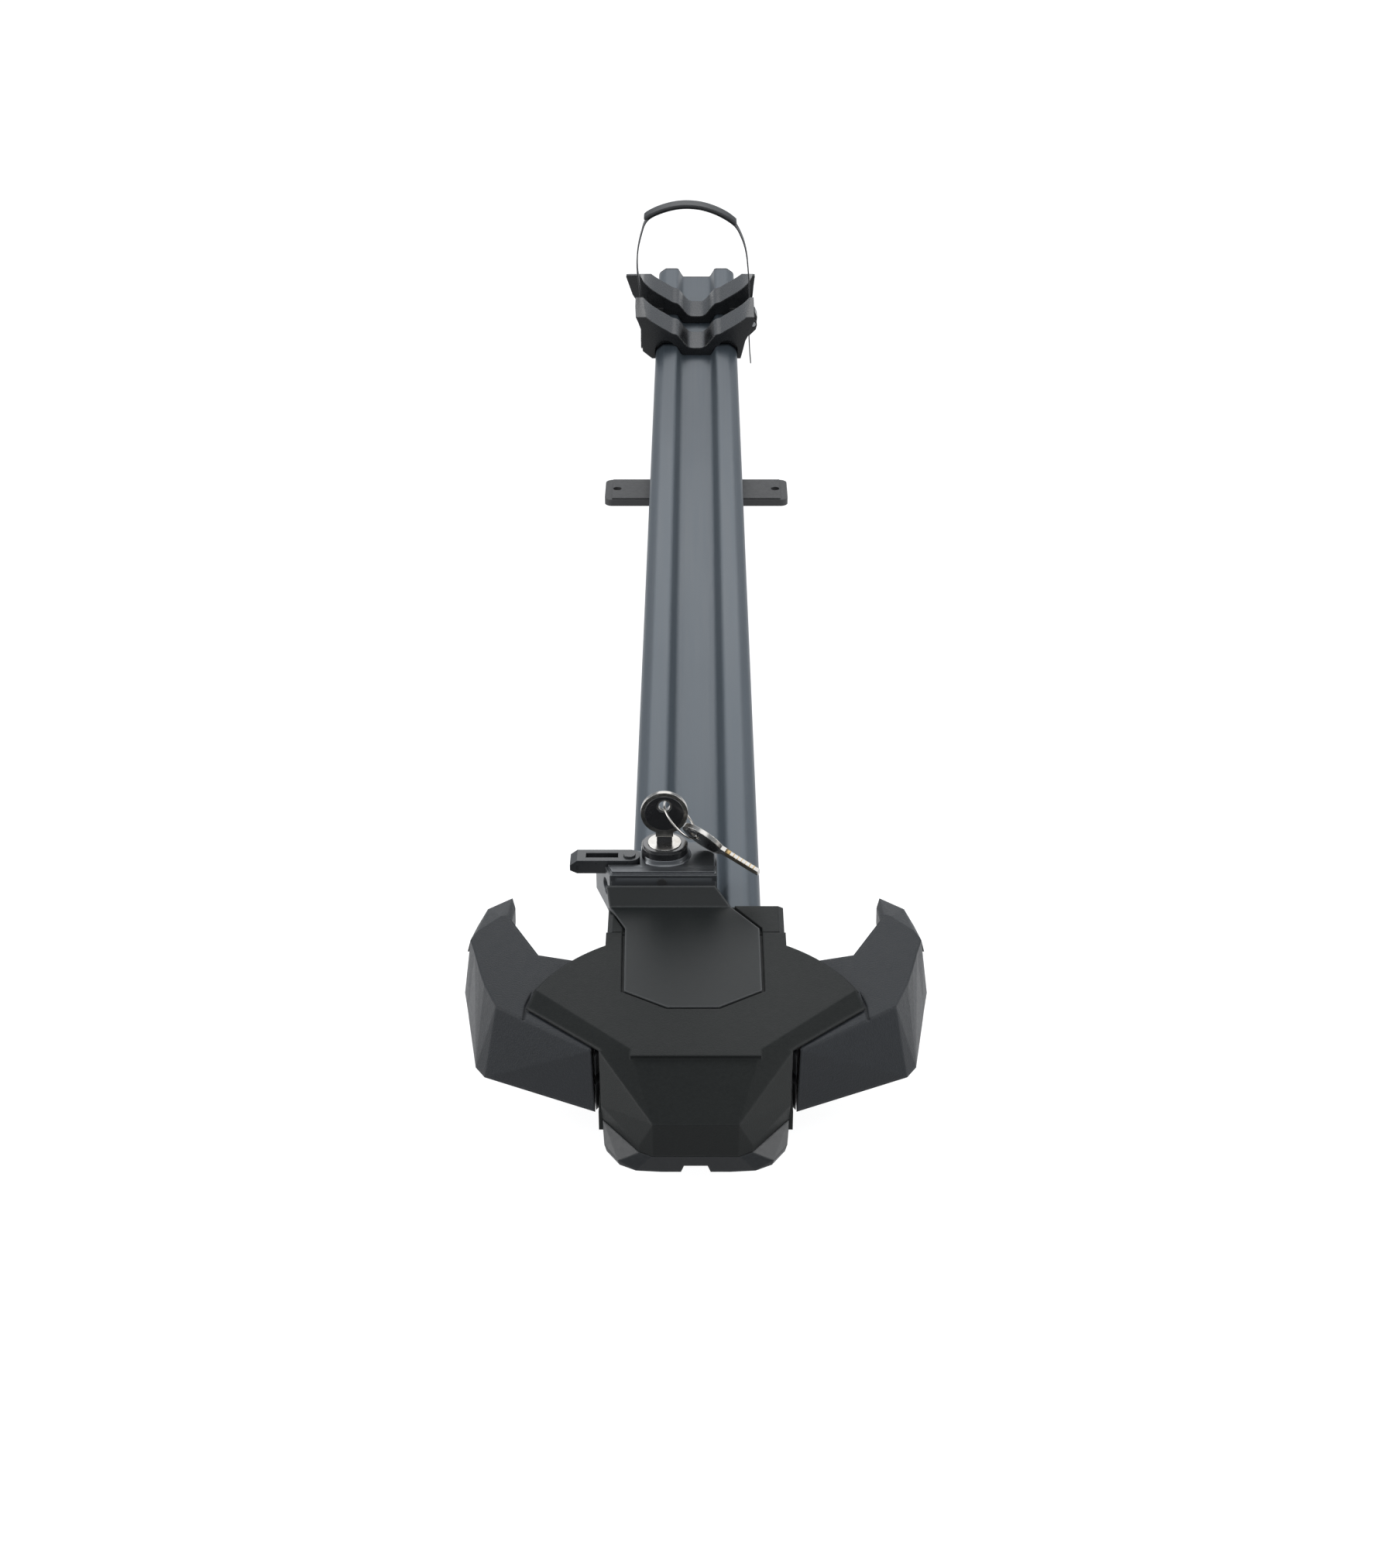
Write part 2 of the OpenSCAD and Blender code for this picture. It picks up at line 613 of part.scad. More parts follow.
// Steel bar that joins the claws, with a tongue towards the handle
module claw_yoke()
    color("silver") {
        block([-yoke_x, yoke_y, yoke_z], [yoke_x, yoke_y + yoke_d, yoke_z + yoke_h]);
        block([-6, base_front - 10, yoke_z], [6, yoke_y, yoke_z + yoke_h]);
    }

// Steel jaw that reaches from the yoke down behind the bar
jaw_front = bar_w / 2 + jaw_pad_t;
jaw_back = jaw_front + jaw_t;
module jaw(x)
    color("silver") along_x(x - jaw_w / 2, x + jaw_w / 2) polygon([
        [yoke_y, yoke_z], [yoke_y, yoke_z - jaw_t], [jaw_front, yoke_z - jaw_t], [jaw_front, -bar_h + 3],
        [jaw_front + 1.5, -bar_h], [jaw_back, -bar_h], [jaw_back, yoke_z]]);
module jaw_left() jaw(-jaw_x);
module jaw_right() jaw(jaw_x);

module jaw_pads()
    color("black") for (x = [-jaw_x, jaw_x])
        block([x - jaw_w / 2, bar_w / 2, -bar_h + 4], [x + jaw_w / 2, jaw_front, -1]);

// Flip handle under the nose
module clamp_handle() {
    top = seam_z - 0.3;
    color("dimgray") difference() {
        union() {
            twin_corners([[46, -109.5, 0], [46, -124, 0], [39, -135, 0], [30.5, -139.7, 0], [17.5, nose_y - 1.2, 0],
                [48.3, -109.5, 2.5], [48.3, -109.5, top], [29, nose_y + 3.9, top], [22, nose_y + 0.1, top],
                [47.2, -122, 2.5], [40, -134.6, 2.5]]);
            block([-43, hinge_y - 7, 0.5], [43, hinge_y + 1, top]);
            shaft_x([-43, hinge_y, hinge_z], 2 * (top - hinge_z), 86);
        }
        shaft_x([-50, hinge_y, hinge_z], hinge_d + 2 * fit, 100);
        // Finger notch in the lower edge
        corners([[-8, nose_y - 3, -1], [8, nose_y - 3, -1], [-6, nose_y - 3, 3.5], [6, nose_y - 3, 3.5],
            [-8, nose_y + 6, -1], [8, nose_y + 6, -1], [-6, nose_y + 5, 3.5], [6, nose_y + 5, 3.5]]);
        // Hollow behind the front wall
        twin_corners([[42, -110.5, -1], [42, -123, -1], [34, -131, -1], [14, nose_y + 8, -1],
            [42, -110.5, 5.5], [42, -123, 5.5], [34, -131, 5.5], [14, nose_y + 8, 5.5]]);
    }
}

module handle_pin()
    color("silver") shaft_x([-nose_x + 0.5, hinge_y, hinge_z], hinge_d, 2 * nose_x - 1);

// Cross plate for the rear bar
module rear_plate()
    color("black") difference() {
        union() {
            block([-plate_w / 2 + 6, plate_y - plate_d / 2, 0], [plate_w / 2 - 6, plate_y + plate_d / 2, plate_t - 1]);
            block([-plate_w / 2, plate_y - plate_d / 2 + 6, 0], [plate_w / 2, plate_y + plate_d / 2 - 6, plate_t - 1]);
            for (x = [-1, 1], y = [-1, 1])
                shaft_z([x * (plate_w / 2 - 6), plate_y + y * (plate_d / 2 - 6), 0], 12, plate_t - 1);
            block([-plate_w / 2 + 6, plate_y - plate_d / 2 + 1.5, 0], [plate_w / 2 - 6, plate_y + plate_d / 2 - 1.5, plate_t]);
        }
        for (x = [-1, 1])
            shaft_z([x * hole_span / 2, plate_y, -1], hole_d, plate_t + 2);
        shaft_z([0, plate_y, -1], screw_d + 0.4, plate_t + 2);
        shaft_z([0, plate_y, -1], screw_head + 0.6, screw_head_h + 1.3);
    }

module plate_screw()
    color("silver") difference() {
        union() {
            shaft_z([0, plate_y, 0.3], screw_head, screw_head_h);
            shaft_z([0, plate_y, screw_head_h], screw_d, tray_z + 3 + nut_h - screw_head_h);
        }
        translate([0, plate_y, -0.5]) cylinder(d = 6, h = 2.8, $fn = 6);
    }

module slot_nut()
    color("silver") difference() {
        block([-tee_w / 2 + gap, plate_y - nut_len / 2, tray_z + 3],
              [tee_w / 2 - gap, plate_y + nut_len / 2, tray_z + 3 + nut_h]);
        shaft_z([0, plate_y, 0], screw_d, 40);
    }

// Inner line of the cradle's V on one side, as distance from the middle and height over the tray
vee_knots = [[-6, -1], [0, -1.5], [6, -1], [10.2, 2.3], [14, 7.2], [17.8, 11], [22.4, 12.4], [27, 15.2], [32, 18.1],
    [38, 21.8], [43, 25.4], [47.5, 29.6], [51, 33.6], [53.6, 38]];
// Smooth curve through the knots from the second to the last but one, in n steps a span
function spline(k, n) = [for (i = [1 : len(k) - 3], j = [0 : n - 1])
    let (t = j / n, a = k[i - 1], b = k[i], c = k[i + 1], d = k[i + 2])
    (2 * b + (c - a) * t + (2 * a - 5 * b + 4 * c - d) * t * t + (3 * b - a - 3 * c + d) * t * t * t) / 2];
vee_all = spline(vee_knots, 3);
vee = [for (i = [1 : len(vee_all) - 1]) vee_all[i]];
cradle_in = tray_w / 2 + gap;
cradle_out = cradle_in + cradle_t;
hook_low = tray_z + groove_z + gap;

// Cross section of a rib; each arm is its outer line from the top down, as distance and height
module rib_section(right, left)
    polygon(concat(
        [[0, tray_top - 1.5]], [for (p = vee) [p[0], tray_top + p[1]]],
        [for (p = right) [p[0], tray_top + p[1]]],
        [[cradle_out, hook_low], [-cradle_out, hook_low]],
        [for (i = [len(left) - 1 : -1 : 0]) [-left[i][0], tray_top + left[i][1]]],
        [for (i = [len(vee) - 1 : -1 : 0]) [-vee[i][0], tray_top + vee[i][1]]]));

knob_y = cradle_mid - 8;
knob_z = tray_z + tray_h / 2 + 2;
knob_d = 24;

// Two ribs on the tray, joined by the side walls that run in its grooves
module cradle_body() {
    y1 = cradle_y + rib_len;
    y2 = y1 + groove_len;
    y3 = y2 + rib_len;
    color("black") difference() {
        union() {
            along_y(cradle_y, y1) rib_section(
                [[51.5, front_arm_h + 4], [53.5, front_arm_h + 4], [53, 24], [48.6, 12], [45, 5], [42.6, -5]],
                [[51.5, front_arm_h + 4], [57, front_arm_h + 4], [56.4, front_arm_h - 2], [53, 22], [50.2, 14],
                 [49.4, -4.6]]);
            along_y(y2, y3) rib_section(
                [[53.2, arm_h], [55.3, arm_h - 1], [54.2, 28], [53.4, 18], [48.6, 8], [45, 4], [42.6, -5]],
                [[53.2, arm_h], [66, arm_h], [66.4, arm_h - 1.5], [60.5, 19.6], [53, 8], [49.4, -4.6]]);
            for (s = [-1, 1]) along_y(y1 - 1, y2 + 1)
                polygon([for (p = [[32, tray_top + 6], [44, tray_top + 6], [cradle_out, tray_top + 2],
                    [cradle_out, hook_low], [32, hook_low]]) [s * p[0], p[1]]]);
        }
        // Slanted tops of the arms
        along_x(-70, 70) polygon([[cradle_y - 1, tray_top + front_arm_h - 4.3], [y1 + 1, tray_top + front_arm_h],
            [y1 + 1, arm_z + 9], [cradle_y - 1, arm_z + 9]]);
        along_x(-70, 70) polygon([[y2 + 4, arm_z], [y3 + 1, arm_z - 13], [y3 + 1, arm_z + 9], [y2 + 4, arm_z + 9]]);
        // Room of the tray
        difference() {
            along_y(cradle_y - 1, y3 + 1) {
                tray_outline(gap);
                translate([-60, 0]) square([120, tray_z]);
            }
            // Runners in the side grooves of the tray
            for (s = [-1, 1])
                block([s * (cradle_in + 0.5 - groove_in / 2) - groove_in / 2, cradle_y - 2, hook_low],
                      [s * (cradle_in + 0.5 - groove_in / 2) + groove_in / 2, y3 + 2,
                       tray_z + groove_z + groove_h - gap]);
        }
        // Arches over the bumps of the tray in both end faces
        for (s = [-1, 1], y = [cradle_y - 1, y3 - 7]) along_y(y, y + 8)
            polygon([for (p = [[19.8, -2], [20.4, 1], [22.3, 3.4], [25, 4.9], [28.5, 5.5], [32, 4.9], [35, 2.9], [37.4, -0.4],
                [cradle_in, -3], [cradle_in, -8]]) [s * p[0], tray_top + p[1]]]);
        // Bores of the strap pin and of the knob
        shaft_y([anchor_x, y1 - 6, strap_end], anchor_d, groove_len + 12);
        shaft_x([-60, knob_y, knob_z], 6 + 2 * fit, 30);
    }
}

// Knob with eight grips
module cradle_knob()
    color("black") difference() {
        union() {
            shaft_x([-cradle_out - gap - 11, knob_y, knob_z], knob_d, 11);
            shaft_x([-cradle_out - gap - 1, knob_y, knob_z], 6, cradle_t + gap + 1);
        }
        for (a = [22.5 : 45 : 350])
            shaft_x([-cradle_out - 20, knob_y + (knob_d / 2 + 2) * cos(a), knob_z + (knob_d / 2 + 2) * sin(a)], 8, 18);
        shaft_x([-cradle_out - gap - 12, knob_y, knob_z], knob_d - 10, 3);
    }

module strap_anchor()
    color("silver") shaft_y([anchor_x, cradle_y + rib_len - 5, strap_end], anchor_d, groove_len + 10);

function unit(v) = v / norm(v);
// Outline of a band of thickness t along a path
function band(p, t) = let (
        n = len(p) - 1,
        d = [for (i = [0 : n]) unit(p[min(i + 1, n)] - p[max(i - 1, 0)])],
        side = [for (i = [0 : n]) [-d[i][1], d[i][0]] * t / 2])
    concat([for (i = [0 : n]) p[i] + side[i]], [for (i = [n : -1 : 0]) p[i] - side[i]]);

arch_r = 62;
arch_c = [-5, tray_top + strap_h + 1.7 - arch_r];
strap_r = arch_r - pad_h - strap_t / 2 - 0.2;
strap_x = buckle_x - 4;

module wheel_strap()
    color("black") difference() {
        along_y(strap_y - strap_w / 2, strap_y + strap_w / 2)
            polygon(band(concat(
                [[anchor_x - 3.5, strap_end - 3], [anchor_x - 3.6, strap_end + 5], [-53.6, tray_top + 40],
                 [-54, tray_top + 62], [-52.6, tray_top + 80]],
                arc(arch_c, strap_r, 142, 38, 16),
                [[44.4, tray_top + 78], [47.6, tray_top + 58], [strap_x, tray_top + 38], [strap_x, strap_end]]),
                strap_t));
        shaft_y([anchor_x, strap_y - 20, strap_end], anchor_d + 0.6, 40);
    }

// Pad that lies on the strap where the wheel's rim is held
module strap_pad()
    color("black") difference() {
        along_y(strap_y - pad_w / 2, strap_y + pad_w / 2)
            polygon(concat(arc(arch_c, arch_r, 135, 42, 16), arc(arch_c, arch_r - pad_h, 42, 135, 16)));
        for (a = [48 : 6 : 130])
            along_y(strap_y - pad_w / 2 + 2, strap_y + pad_w / 2 - 2)
                translate(arch_c) rotate(a) translate([arch_r - 0.8, -1]) square([3, 2]);
    }

module strap_tail()
    color("black") along_y(strap_y - strap_w / 2, strap_y + strap_w / 2)
        polygon(band([[strap_x, strap_end - 0.3], [strap_x, tray_top - 2], [strap_x + 0.2, tray_top - 12],
            [strap_x + 0.9, tray_top - 33]], strap_t));

// Buckle between the ribs: base with two cheeks, pin, lever and sprung pawl
module buckle_base() {
    w = strap_w / 2 + 1;
    color("black") difference() {
        union() {
            along_y(strap_y - w - 2.5, strap_y + w + 2.5) translate([0, tray_top])
                polygon([[cradle_out, -9], [strap_x - 1, -9], [strap_x - 1, 6], [44, 6], [cradle_out, 2]]);
            for (s = [-1, 1])
                along_y(strap_y + s * (w + 1.25) - 1.25, strap_y + s * (w + 1.25) + 1.25)
                    translate([0, tray_top]) polygon([[cradle_out, 2], [cradle_out, -9], [50, -9], [56, -3], [buckle_x + 3.4, 1],
                        [buckle_x + 3, 5], [51, 10], [44, 10], [44, 6]]);
        }
        shaft_y([buckle_x, strap_y - 20, buckle_z], buckle_pin_d, 40);
        shaft_y([46.3, strap_y - 20, tray_top + 8], 2, 40);
        block([0, strap_y - w, tray_top + 5.6], [43.99, strap_y + w, tray_top + 20]);
    }
}

module buckle_pin()
    color("silver") shaft_y([buckle_x, strap_y - strap_w / 2 - 4, buckle_z], buckle_pin_d, strap_w + 8);

module buckle_lever() {
    w = strap_w / 2 + 0.6;
    color("black") difference() {
        union() {
            shaft_y([buckle_x, strap_y - w, buckle_z], 5.8, 2 * w);
            along_y(strap_y - w, strap_y + w) polygon([[buckle_x - 2.6, buckle_z], [buckle_x + 3.1, buckle_z],
                [buckle_x + 3.6, buckle_z + 6], [buckle_x + 1.6, buckle_z + 10.5], [buckle_x - 2.2, buckle_z + 10.5]]);
        }
        shaft_y([buckle_x, strap_y - 20, buckle_z], buckle_pin_d + 2 * fit, 40);
        for (y = [-4 : 4 : 4])
            block([buckle_x + 2.8, strap_y + y - 0.6, buckle_z + 3], [buckle_x + 5, strap_y + y + 0.6, buckle_z + 9]);
    }
}

module buckle_pawl()
    color("silver") {
        shaft_y([46.3, strap_y - strap_w / 2 - 3, tray_top + 8], 1.9, strap_w + 6);
        along_y(strap_y - 5, strap_y + 5)
            translate([0, tray_top]) polygon([[45.4, 7.2], [47.2, 7.2], [47.9, 15], [47.2, 18], [46.2, 15]]);
    }

tray_rail();
tray_end_cap();
tray_screws();
head_base();
seat_pad();
front_hooks();
head_cover();
rear_collar();
tower_panel();
tower_block();
lock_bezel();
lock_plug();
lever();
lever_pin();
key();
key_ring();
second_key();
claw_left();
claw_right();
claw_yoke();
jaw_left();
jaw_right();
jaw_pads();
clamp_handle();
handle_pin();
rear_plate();
plate_screw();
slot_nut();
cradle_body();
cradle_knob();
strap_anchor();
wheel_strap();
strap_pad();
strap_tail();
buckle_base();
buckle_pin();
buckle_lever();
buckle_pawl();
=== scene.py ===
"""Roof mounted bike carrier, dressed for a studio picture.

The measured bodies come in as a fixed frame. Each sub-assembly gets its finishes and the small
pieces that the frame leaves out, and the studio adds floor, lamps and camera. Pieces are sized in
millimetres in the carrier's own axes: X across to the right, Y along the tray to its far end, Z
up. Finishes, bevels and the studio are in metres.
"""
import logging
import math
from dataclasses import dataclass
from enum import Enum
from typing import ClassVar

import bmesh
import bpy
from mathutils import Matrix, Vector


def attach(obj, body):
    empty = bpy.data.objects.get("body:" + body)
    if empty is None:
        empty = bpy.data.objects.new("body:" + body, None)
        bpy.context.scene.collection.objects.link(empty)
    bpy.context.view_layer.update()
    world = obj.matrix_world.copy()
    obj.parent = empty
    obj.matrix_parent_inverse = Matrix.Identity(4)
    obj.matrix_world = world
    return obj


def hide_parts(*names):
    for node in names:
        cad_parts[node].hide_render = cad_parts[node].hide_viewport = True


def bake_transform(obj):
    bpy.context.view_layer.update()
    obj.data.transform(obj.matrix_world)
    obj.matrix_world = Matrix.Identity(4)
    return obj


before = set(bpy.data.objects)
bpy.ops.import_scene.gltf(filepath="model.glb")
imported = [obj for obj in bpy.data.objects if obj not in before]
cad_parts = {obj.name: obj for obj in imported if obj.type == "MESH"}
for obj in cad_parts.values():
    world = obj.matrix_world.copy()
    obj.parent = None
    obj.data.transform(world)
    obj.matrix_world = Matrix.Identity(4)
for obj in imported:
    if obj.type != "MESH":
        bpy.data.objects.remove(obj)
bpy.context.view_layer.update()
LOG = logging.getLogger("carrier")

Rgb = tuple[float, float, float]
Point = tuple[float, float, float]
Flat = tuple[float, float]
Socket = bpy.types.NodeSocket
Tree = bpy.types.NodeTree

# Millimetres in a metre
MM = 1000.0
# Rounding of a small piece: width in metres, sharpest flat angle in degrees, segments
PIECE_BEVEL = 0.0002
BEVEL_ANGLE = 35.0
BEVEL_SEGMENTS = 3
# Distance in metres within which the points of two equal rings become one
MERGE = 1e-7
# Least half thickness of a flat piece between its rounded rims, in metres
THINNEST = 0.00005
RIM_STEPS = 2

# Sockets of a colour mix
MIX_FACTOR, MIX_A, MIX_B, MIX_RESULT = 0, 6, 7, 2
# Octaves of the noise patterns, and the speck's scale as a share of the grain's
FINE_DETAIL, BROAD_DETAIL, SPECK_DETAIL = 3.0, 4.0, 2.0
SPECK_SCALE = 0.35
# Part of the broad pattern over which the colour turns into the tone
TONE_FROM, TONE_TO = 0.35, 0.68
# Dust: its share, its darkest shade, and where in the pattern it starts and ends
DUST_SHARE = 0.35
DUST_SHADE = 0.45
DUST_FROM, DUST_TO = 0.25, 0.70
# Rubbed edges with a painted highlight: how much paler and wider than the rounding, and the dot
# products of the rounded and the true normal at which they start and are complete
WORN_LIT_GAIN, WORN_LIT_LIFT = 1.7, 0.06
WORN_LIT_REACH = 1.6
WORN_LIT_FROM, WORN_LIT_TO = 0.995, 0.88
ROUND_SAMPLES = 4
BUMP_STRENGTH = 0.9
COAT_ROUGHNESS = 0.12
SMOOTHEST = 0.05


def feed(tree: Tree, source: Socket | float | tuple[float, ...], target: Socket) -> None:
    """Link a socket to an input, or set the input to a plain value.

    Args:
        tree: Node tree of both.
        source: Output socket, or value.
        target: Input that takes it.
    """
    if isinstance(source, bpy.types.NodeSocket):
        tree.links.new(source, target)
    else:
        target.default_value = source


def map_range(tree: Tree, value: Socket, limits: dict[str, float]) -> Socket:
    """Add a map from one range to another.

    Args:
        tree: Node tree that takes the node.
        value: Value to map.
        limits: Values of the node's inputs that differ from 0 and 1.

    Returns:
        Socket of the mapped value.
    """
    node = tree.nodes.new("ShaderNodeMapRange")
    for name, limit in limits.items():
        node.inputs[name].default_value = limit
    tree.links.new(value, node.inputs["Value"])
    return node.outputs["Result"]


def mix_colour(
    tree: Tree, factor: Socket | float, one: Socket | tuple[float, ...],
    two: Socket | tuple[float, ...], mode: str = "MIX",
) -> Socket:
    """Add a mix of two colours.

    Args:
        tree: Node tree that takes the node.
        factor: Share of the second colour.
        one: First colour.
        two: Second colour.
        mode: Blend type of the mix.

    Returns:
        Socket of the mixed colour.
    """
    node = tree.nodes.new("ShaderNodeMix")
    node.data_type = "RGBA"
    node.blend_type = mode
    feed(tree, factor, node.inputs[MIX_FACTOR])
    feed(tree, one, node.inputs[MIX_A])
    feed(tree, two, node.inputs[MIX_B])
    return node.outputs[MIX_RESULT]


def mix_shader(tree: Tree, factor: Socket, one: Socket, two: Socket) -> Socket:
    """Add a mix of two shaders.

    Args:
        tree: Node tree that takes the node.
        factor: Share of the second shader.
        one: First shader.
        two: Second shader.

    Returns:
        Socket of the mixed shader.
    """
    node = tree.nodes.new("ShaderNodeMixShader")
    tree.links.new(factor, node.inputs["Fac"])
    tree.links.new(one, node.inputs[1])
    tree.links.new(two, node.inputs[2])
    return node.outputs["Shader"]


class Lay(Enum):
    """Direction in which the surface pattern of a finish is drawn out."""

    EVEN = (1.0, 1.0, 1.0)
    ALONG_TRAY = (1.0, 0.012, 1.0)
    ACROSS = (0.04, 1.0, 1.0)


@dataclass(frozen=True)
class Finish:
    """One surface finish, made from noise patterns in object space.

    Grain and spread are repeats per metre of the fine and the broad pattern. Depth is the height
    of the relief and edge the radius of rounded edges, both in metres.
    """

    name: str
    colour: Rgb
    tone: Rgb
    roughness: float
    metallic: float = 0.0
    grain: float = 900.0
    depth: float = 0.00006
    spread: float = 9.0
    vary: float = 0.08
    # Paling of the edges: rubbed wear, and at high values a painted highlight along them
    wear_and_highlight: float = 0.25
    edge: float = 0.0006
    coat: float = 0.0
    specular: float = 0.5
    lay: Lay = Lay.EVEN

    def build(self) -> bpy.types.Material:
        """Make the node material.

        Returns:
            The material, made once for each finish name.
        """
        title = "look_" + self.name
        known = bpy.data.materials.get(title)
        if known is not None:
            return known
        mat = bpy.data.materials.new(title)
        mat.use_nodes = True
        tree = mat.node_tree
        shader = tree.nodes["Principled BSDF"]
        shader.inputs["Metallic"].default_value = self.metallic
        shader.inputs["Coat Weight"].default_value = self.coat
        shader.inputs["Coat Roughness"].default_value = COAT_ROUGHNESS
        shader.inputs["Specular IOR Level"].default_value = self.specular

        place = tree.nodes.new("ShaderNodeTexCoord").outputs["Object"]
        stretch = tree.nodes.new("ShaderNodeMapping")
        stretch.inputs["Scale"].default_value = self.lay.value
        tree.links.new(place, stretch.inputs["Vector"])
        drawn = stretch.outputs["Vector"]
        fine = self._noise(tree, drawn, self.grain, FINE_DETAIL)
        broad = self._noise(tree, place, self.spread, BROAD_DETAIL)
        speck = self._noise(tree, drawn, self.grain * SPECK_SCALE, SPECK_DETAIL)

        tree.links.new(self._paint(tree, broad, speck), shader.inputs["Base Color"])
        tree.links.new(self._gloss(tree, speck), shader.inputs["Roughness"])
        tree.links.new(self._relief(tree, fine), shader.inputs["Normal"])
        return mat

    @staticmethod
    def _noise(tree: Tree, source: Socket, scale: float, detail: float) -> Socket:
        """Add a noise pattern.

        Args:
            tree: Node tree that takes the node.
            source: Coordinates that place the pattern.
            scale: Repeats per metre.
            detail: Octaves.

        Returns:
            Socket of the pattern.
        """
        node = tree.nodes.new("ShaderNodeTexNoise")
        node.inputs["Scale"].default_value = scale
        node.inputs["Detail"].default_value = detail
        tree.links.new(source, node.inputs["Vector"])
        return node.outputs["Fac"]

    @staticmethod
    def _rounded(tree: Tree, radius: float) -> Socket:
        """Round the normals at edges.

        Args:
            tree: Node tree that takes the node.
            radius: Radius in metres.

        Returns:
            Socket of the rounded normal.
        """
        node = tree.nodes.new("ShaderNodeBevel")
        node.samples = ROUND_SAMPLES
        node.inputs["Radius"].default_value = radius
        return node.outputs["Normal"]

    def _paint(self, tree: Tree, broad: Socket, speck: Socket) -> Socket:
        """Turn colour into tone in broad patches, dull it with dust, and pale its edges for wear
        and as a painted highlight.

        Args:
            tree: Node tree that takes the nodes.
            broad: Pattern of the patches.
            speck: Pattern of the dust.

        Returns:
            Socket of the colour.
        """
        patches = map_range(tree, broad, {"From Min": TONE_FROM, "From Max": TONE_TO})
        plain = mix_colour(tree, patches, (*self.colour, 1.0), (*self.tone, 1.0))
        dusty = mix_colour(tree, DUST_SHARE, plain, self._dust(tree, speck), "MULTIPLY")
        # Colour of the edges: rubbed wear, and a painted highlight along them
        pale = tuple(min(1.0, c * WORN_LIT_GAIN + WORN_LIT_LIFT) for c in self.colour)
        return mix_colour(tree, self._worn_and_lit_edges(tree), dusty, (*pale, 1.0))

    @staticmethod
    def _dust(tree: Tree, speck: Socket) -> Socket:
        """Add a ramp from the dust's shade to white.

        Args:
            tree: Node tree that takes the node.
            speck: Pattern of the dust.

        Returns:
            Socket of the shade.
        """
        node = tree.nodes.new("ShaderNodeValToRGB")
        dark, light = node.color_ramp.elements
        dark.position, light.position = DUST_FROM, DUST_TO
        dark.color = (DUST_SHADE, DUST_SHADE, DUST_SHADE, 1.0)
        light.color = (1.0, 1.0, 1.0, 1.0)
        tree.links.new(speck, node.inputs["Fac"])
        return node.outputs["Color"]

    def _worn_and_lit_edges(self, tree: Tree) -> Socket:
        """Find the pale edges, where a rounded normal leaves the true one, for wear and a painted
        highlight.

        Args:
            tree: Node tree that takes the nodes.

        Returns:
            Socket from 0 on flat areas to the amount of wear and painted highlight on edges.
        """
        geometry = tree.nodes.new("ShaderNodeNewGeometry")
        dot = tree.nodes.new("ShaderNodeVectorMath")
        dot.operation = "DOT_PRODUCT"
        tree.links.new(self._rounded(tree, self.edge * WORN_LIT_REACH), dot.inputs[0])
        tree.links.new(geometry.outputs["True Normal"], dot.inputs[1])
        return map_range(tree, dot.outputs["Value"],
                         {"From Min": WORN_LIT_FROM, "From Max": WORN_LIT_TO, "To Max": self.wear_and_highlight})

    def _gloss(self, tree: Tree, speck: Socket) -> Socket:
        """Vary the roughness with the specks.

        Args:
            tree: Node tree that takes the node.
            speck: Pattern of the variation.

        Returns:
            Socket of the roughness.
        """
        return map_range(tree, speck, {
            "To Min": max(SMOOTHEST, self.roughness - self.vary),
            "To Max": min(1.0, self.roughness + self.vary),
        })

    def _relief(self, tree: Tree, fine: Socket) -> Socket:
        """Raise the fine grain on rounded edges.

        Args:
            tree: Node tree that takes the nodes.
            fine: Pattern of the grain.

        Returns:
            Socket of the normal.
        """
        bump = tree.nodes.new("ShaderNodeBump")
        bump.inputs["Distance"].default_value = self.depth
        bump.inputs["Strength"].default_value = BUMP_STRENGTH
        tree.links.new(fine, bump.inputs["Height"])
        tree.links.new(self._rounded(tree, self.edge), bump.inputs["Normal"])
        return bump.outputs["Normal"]


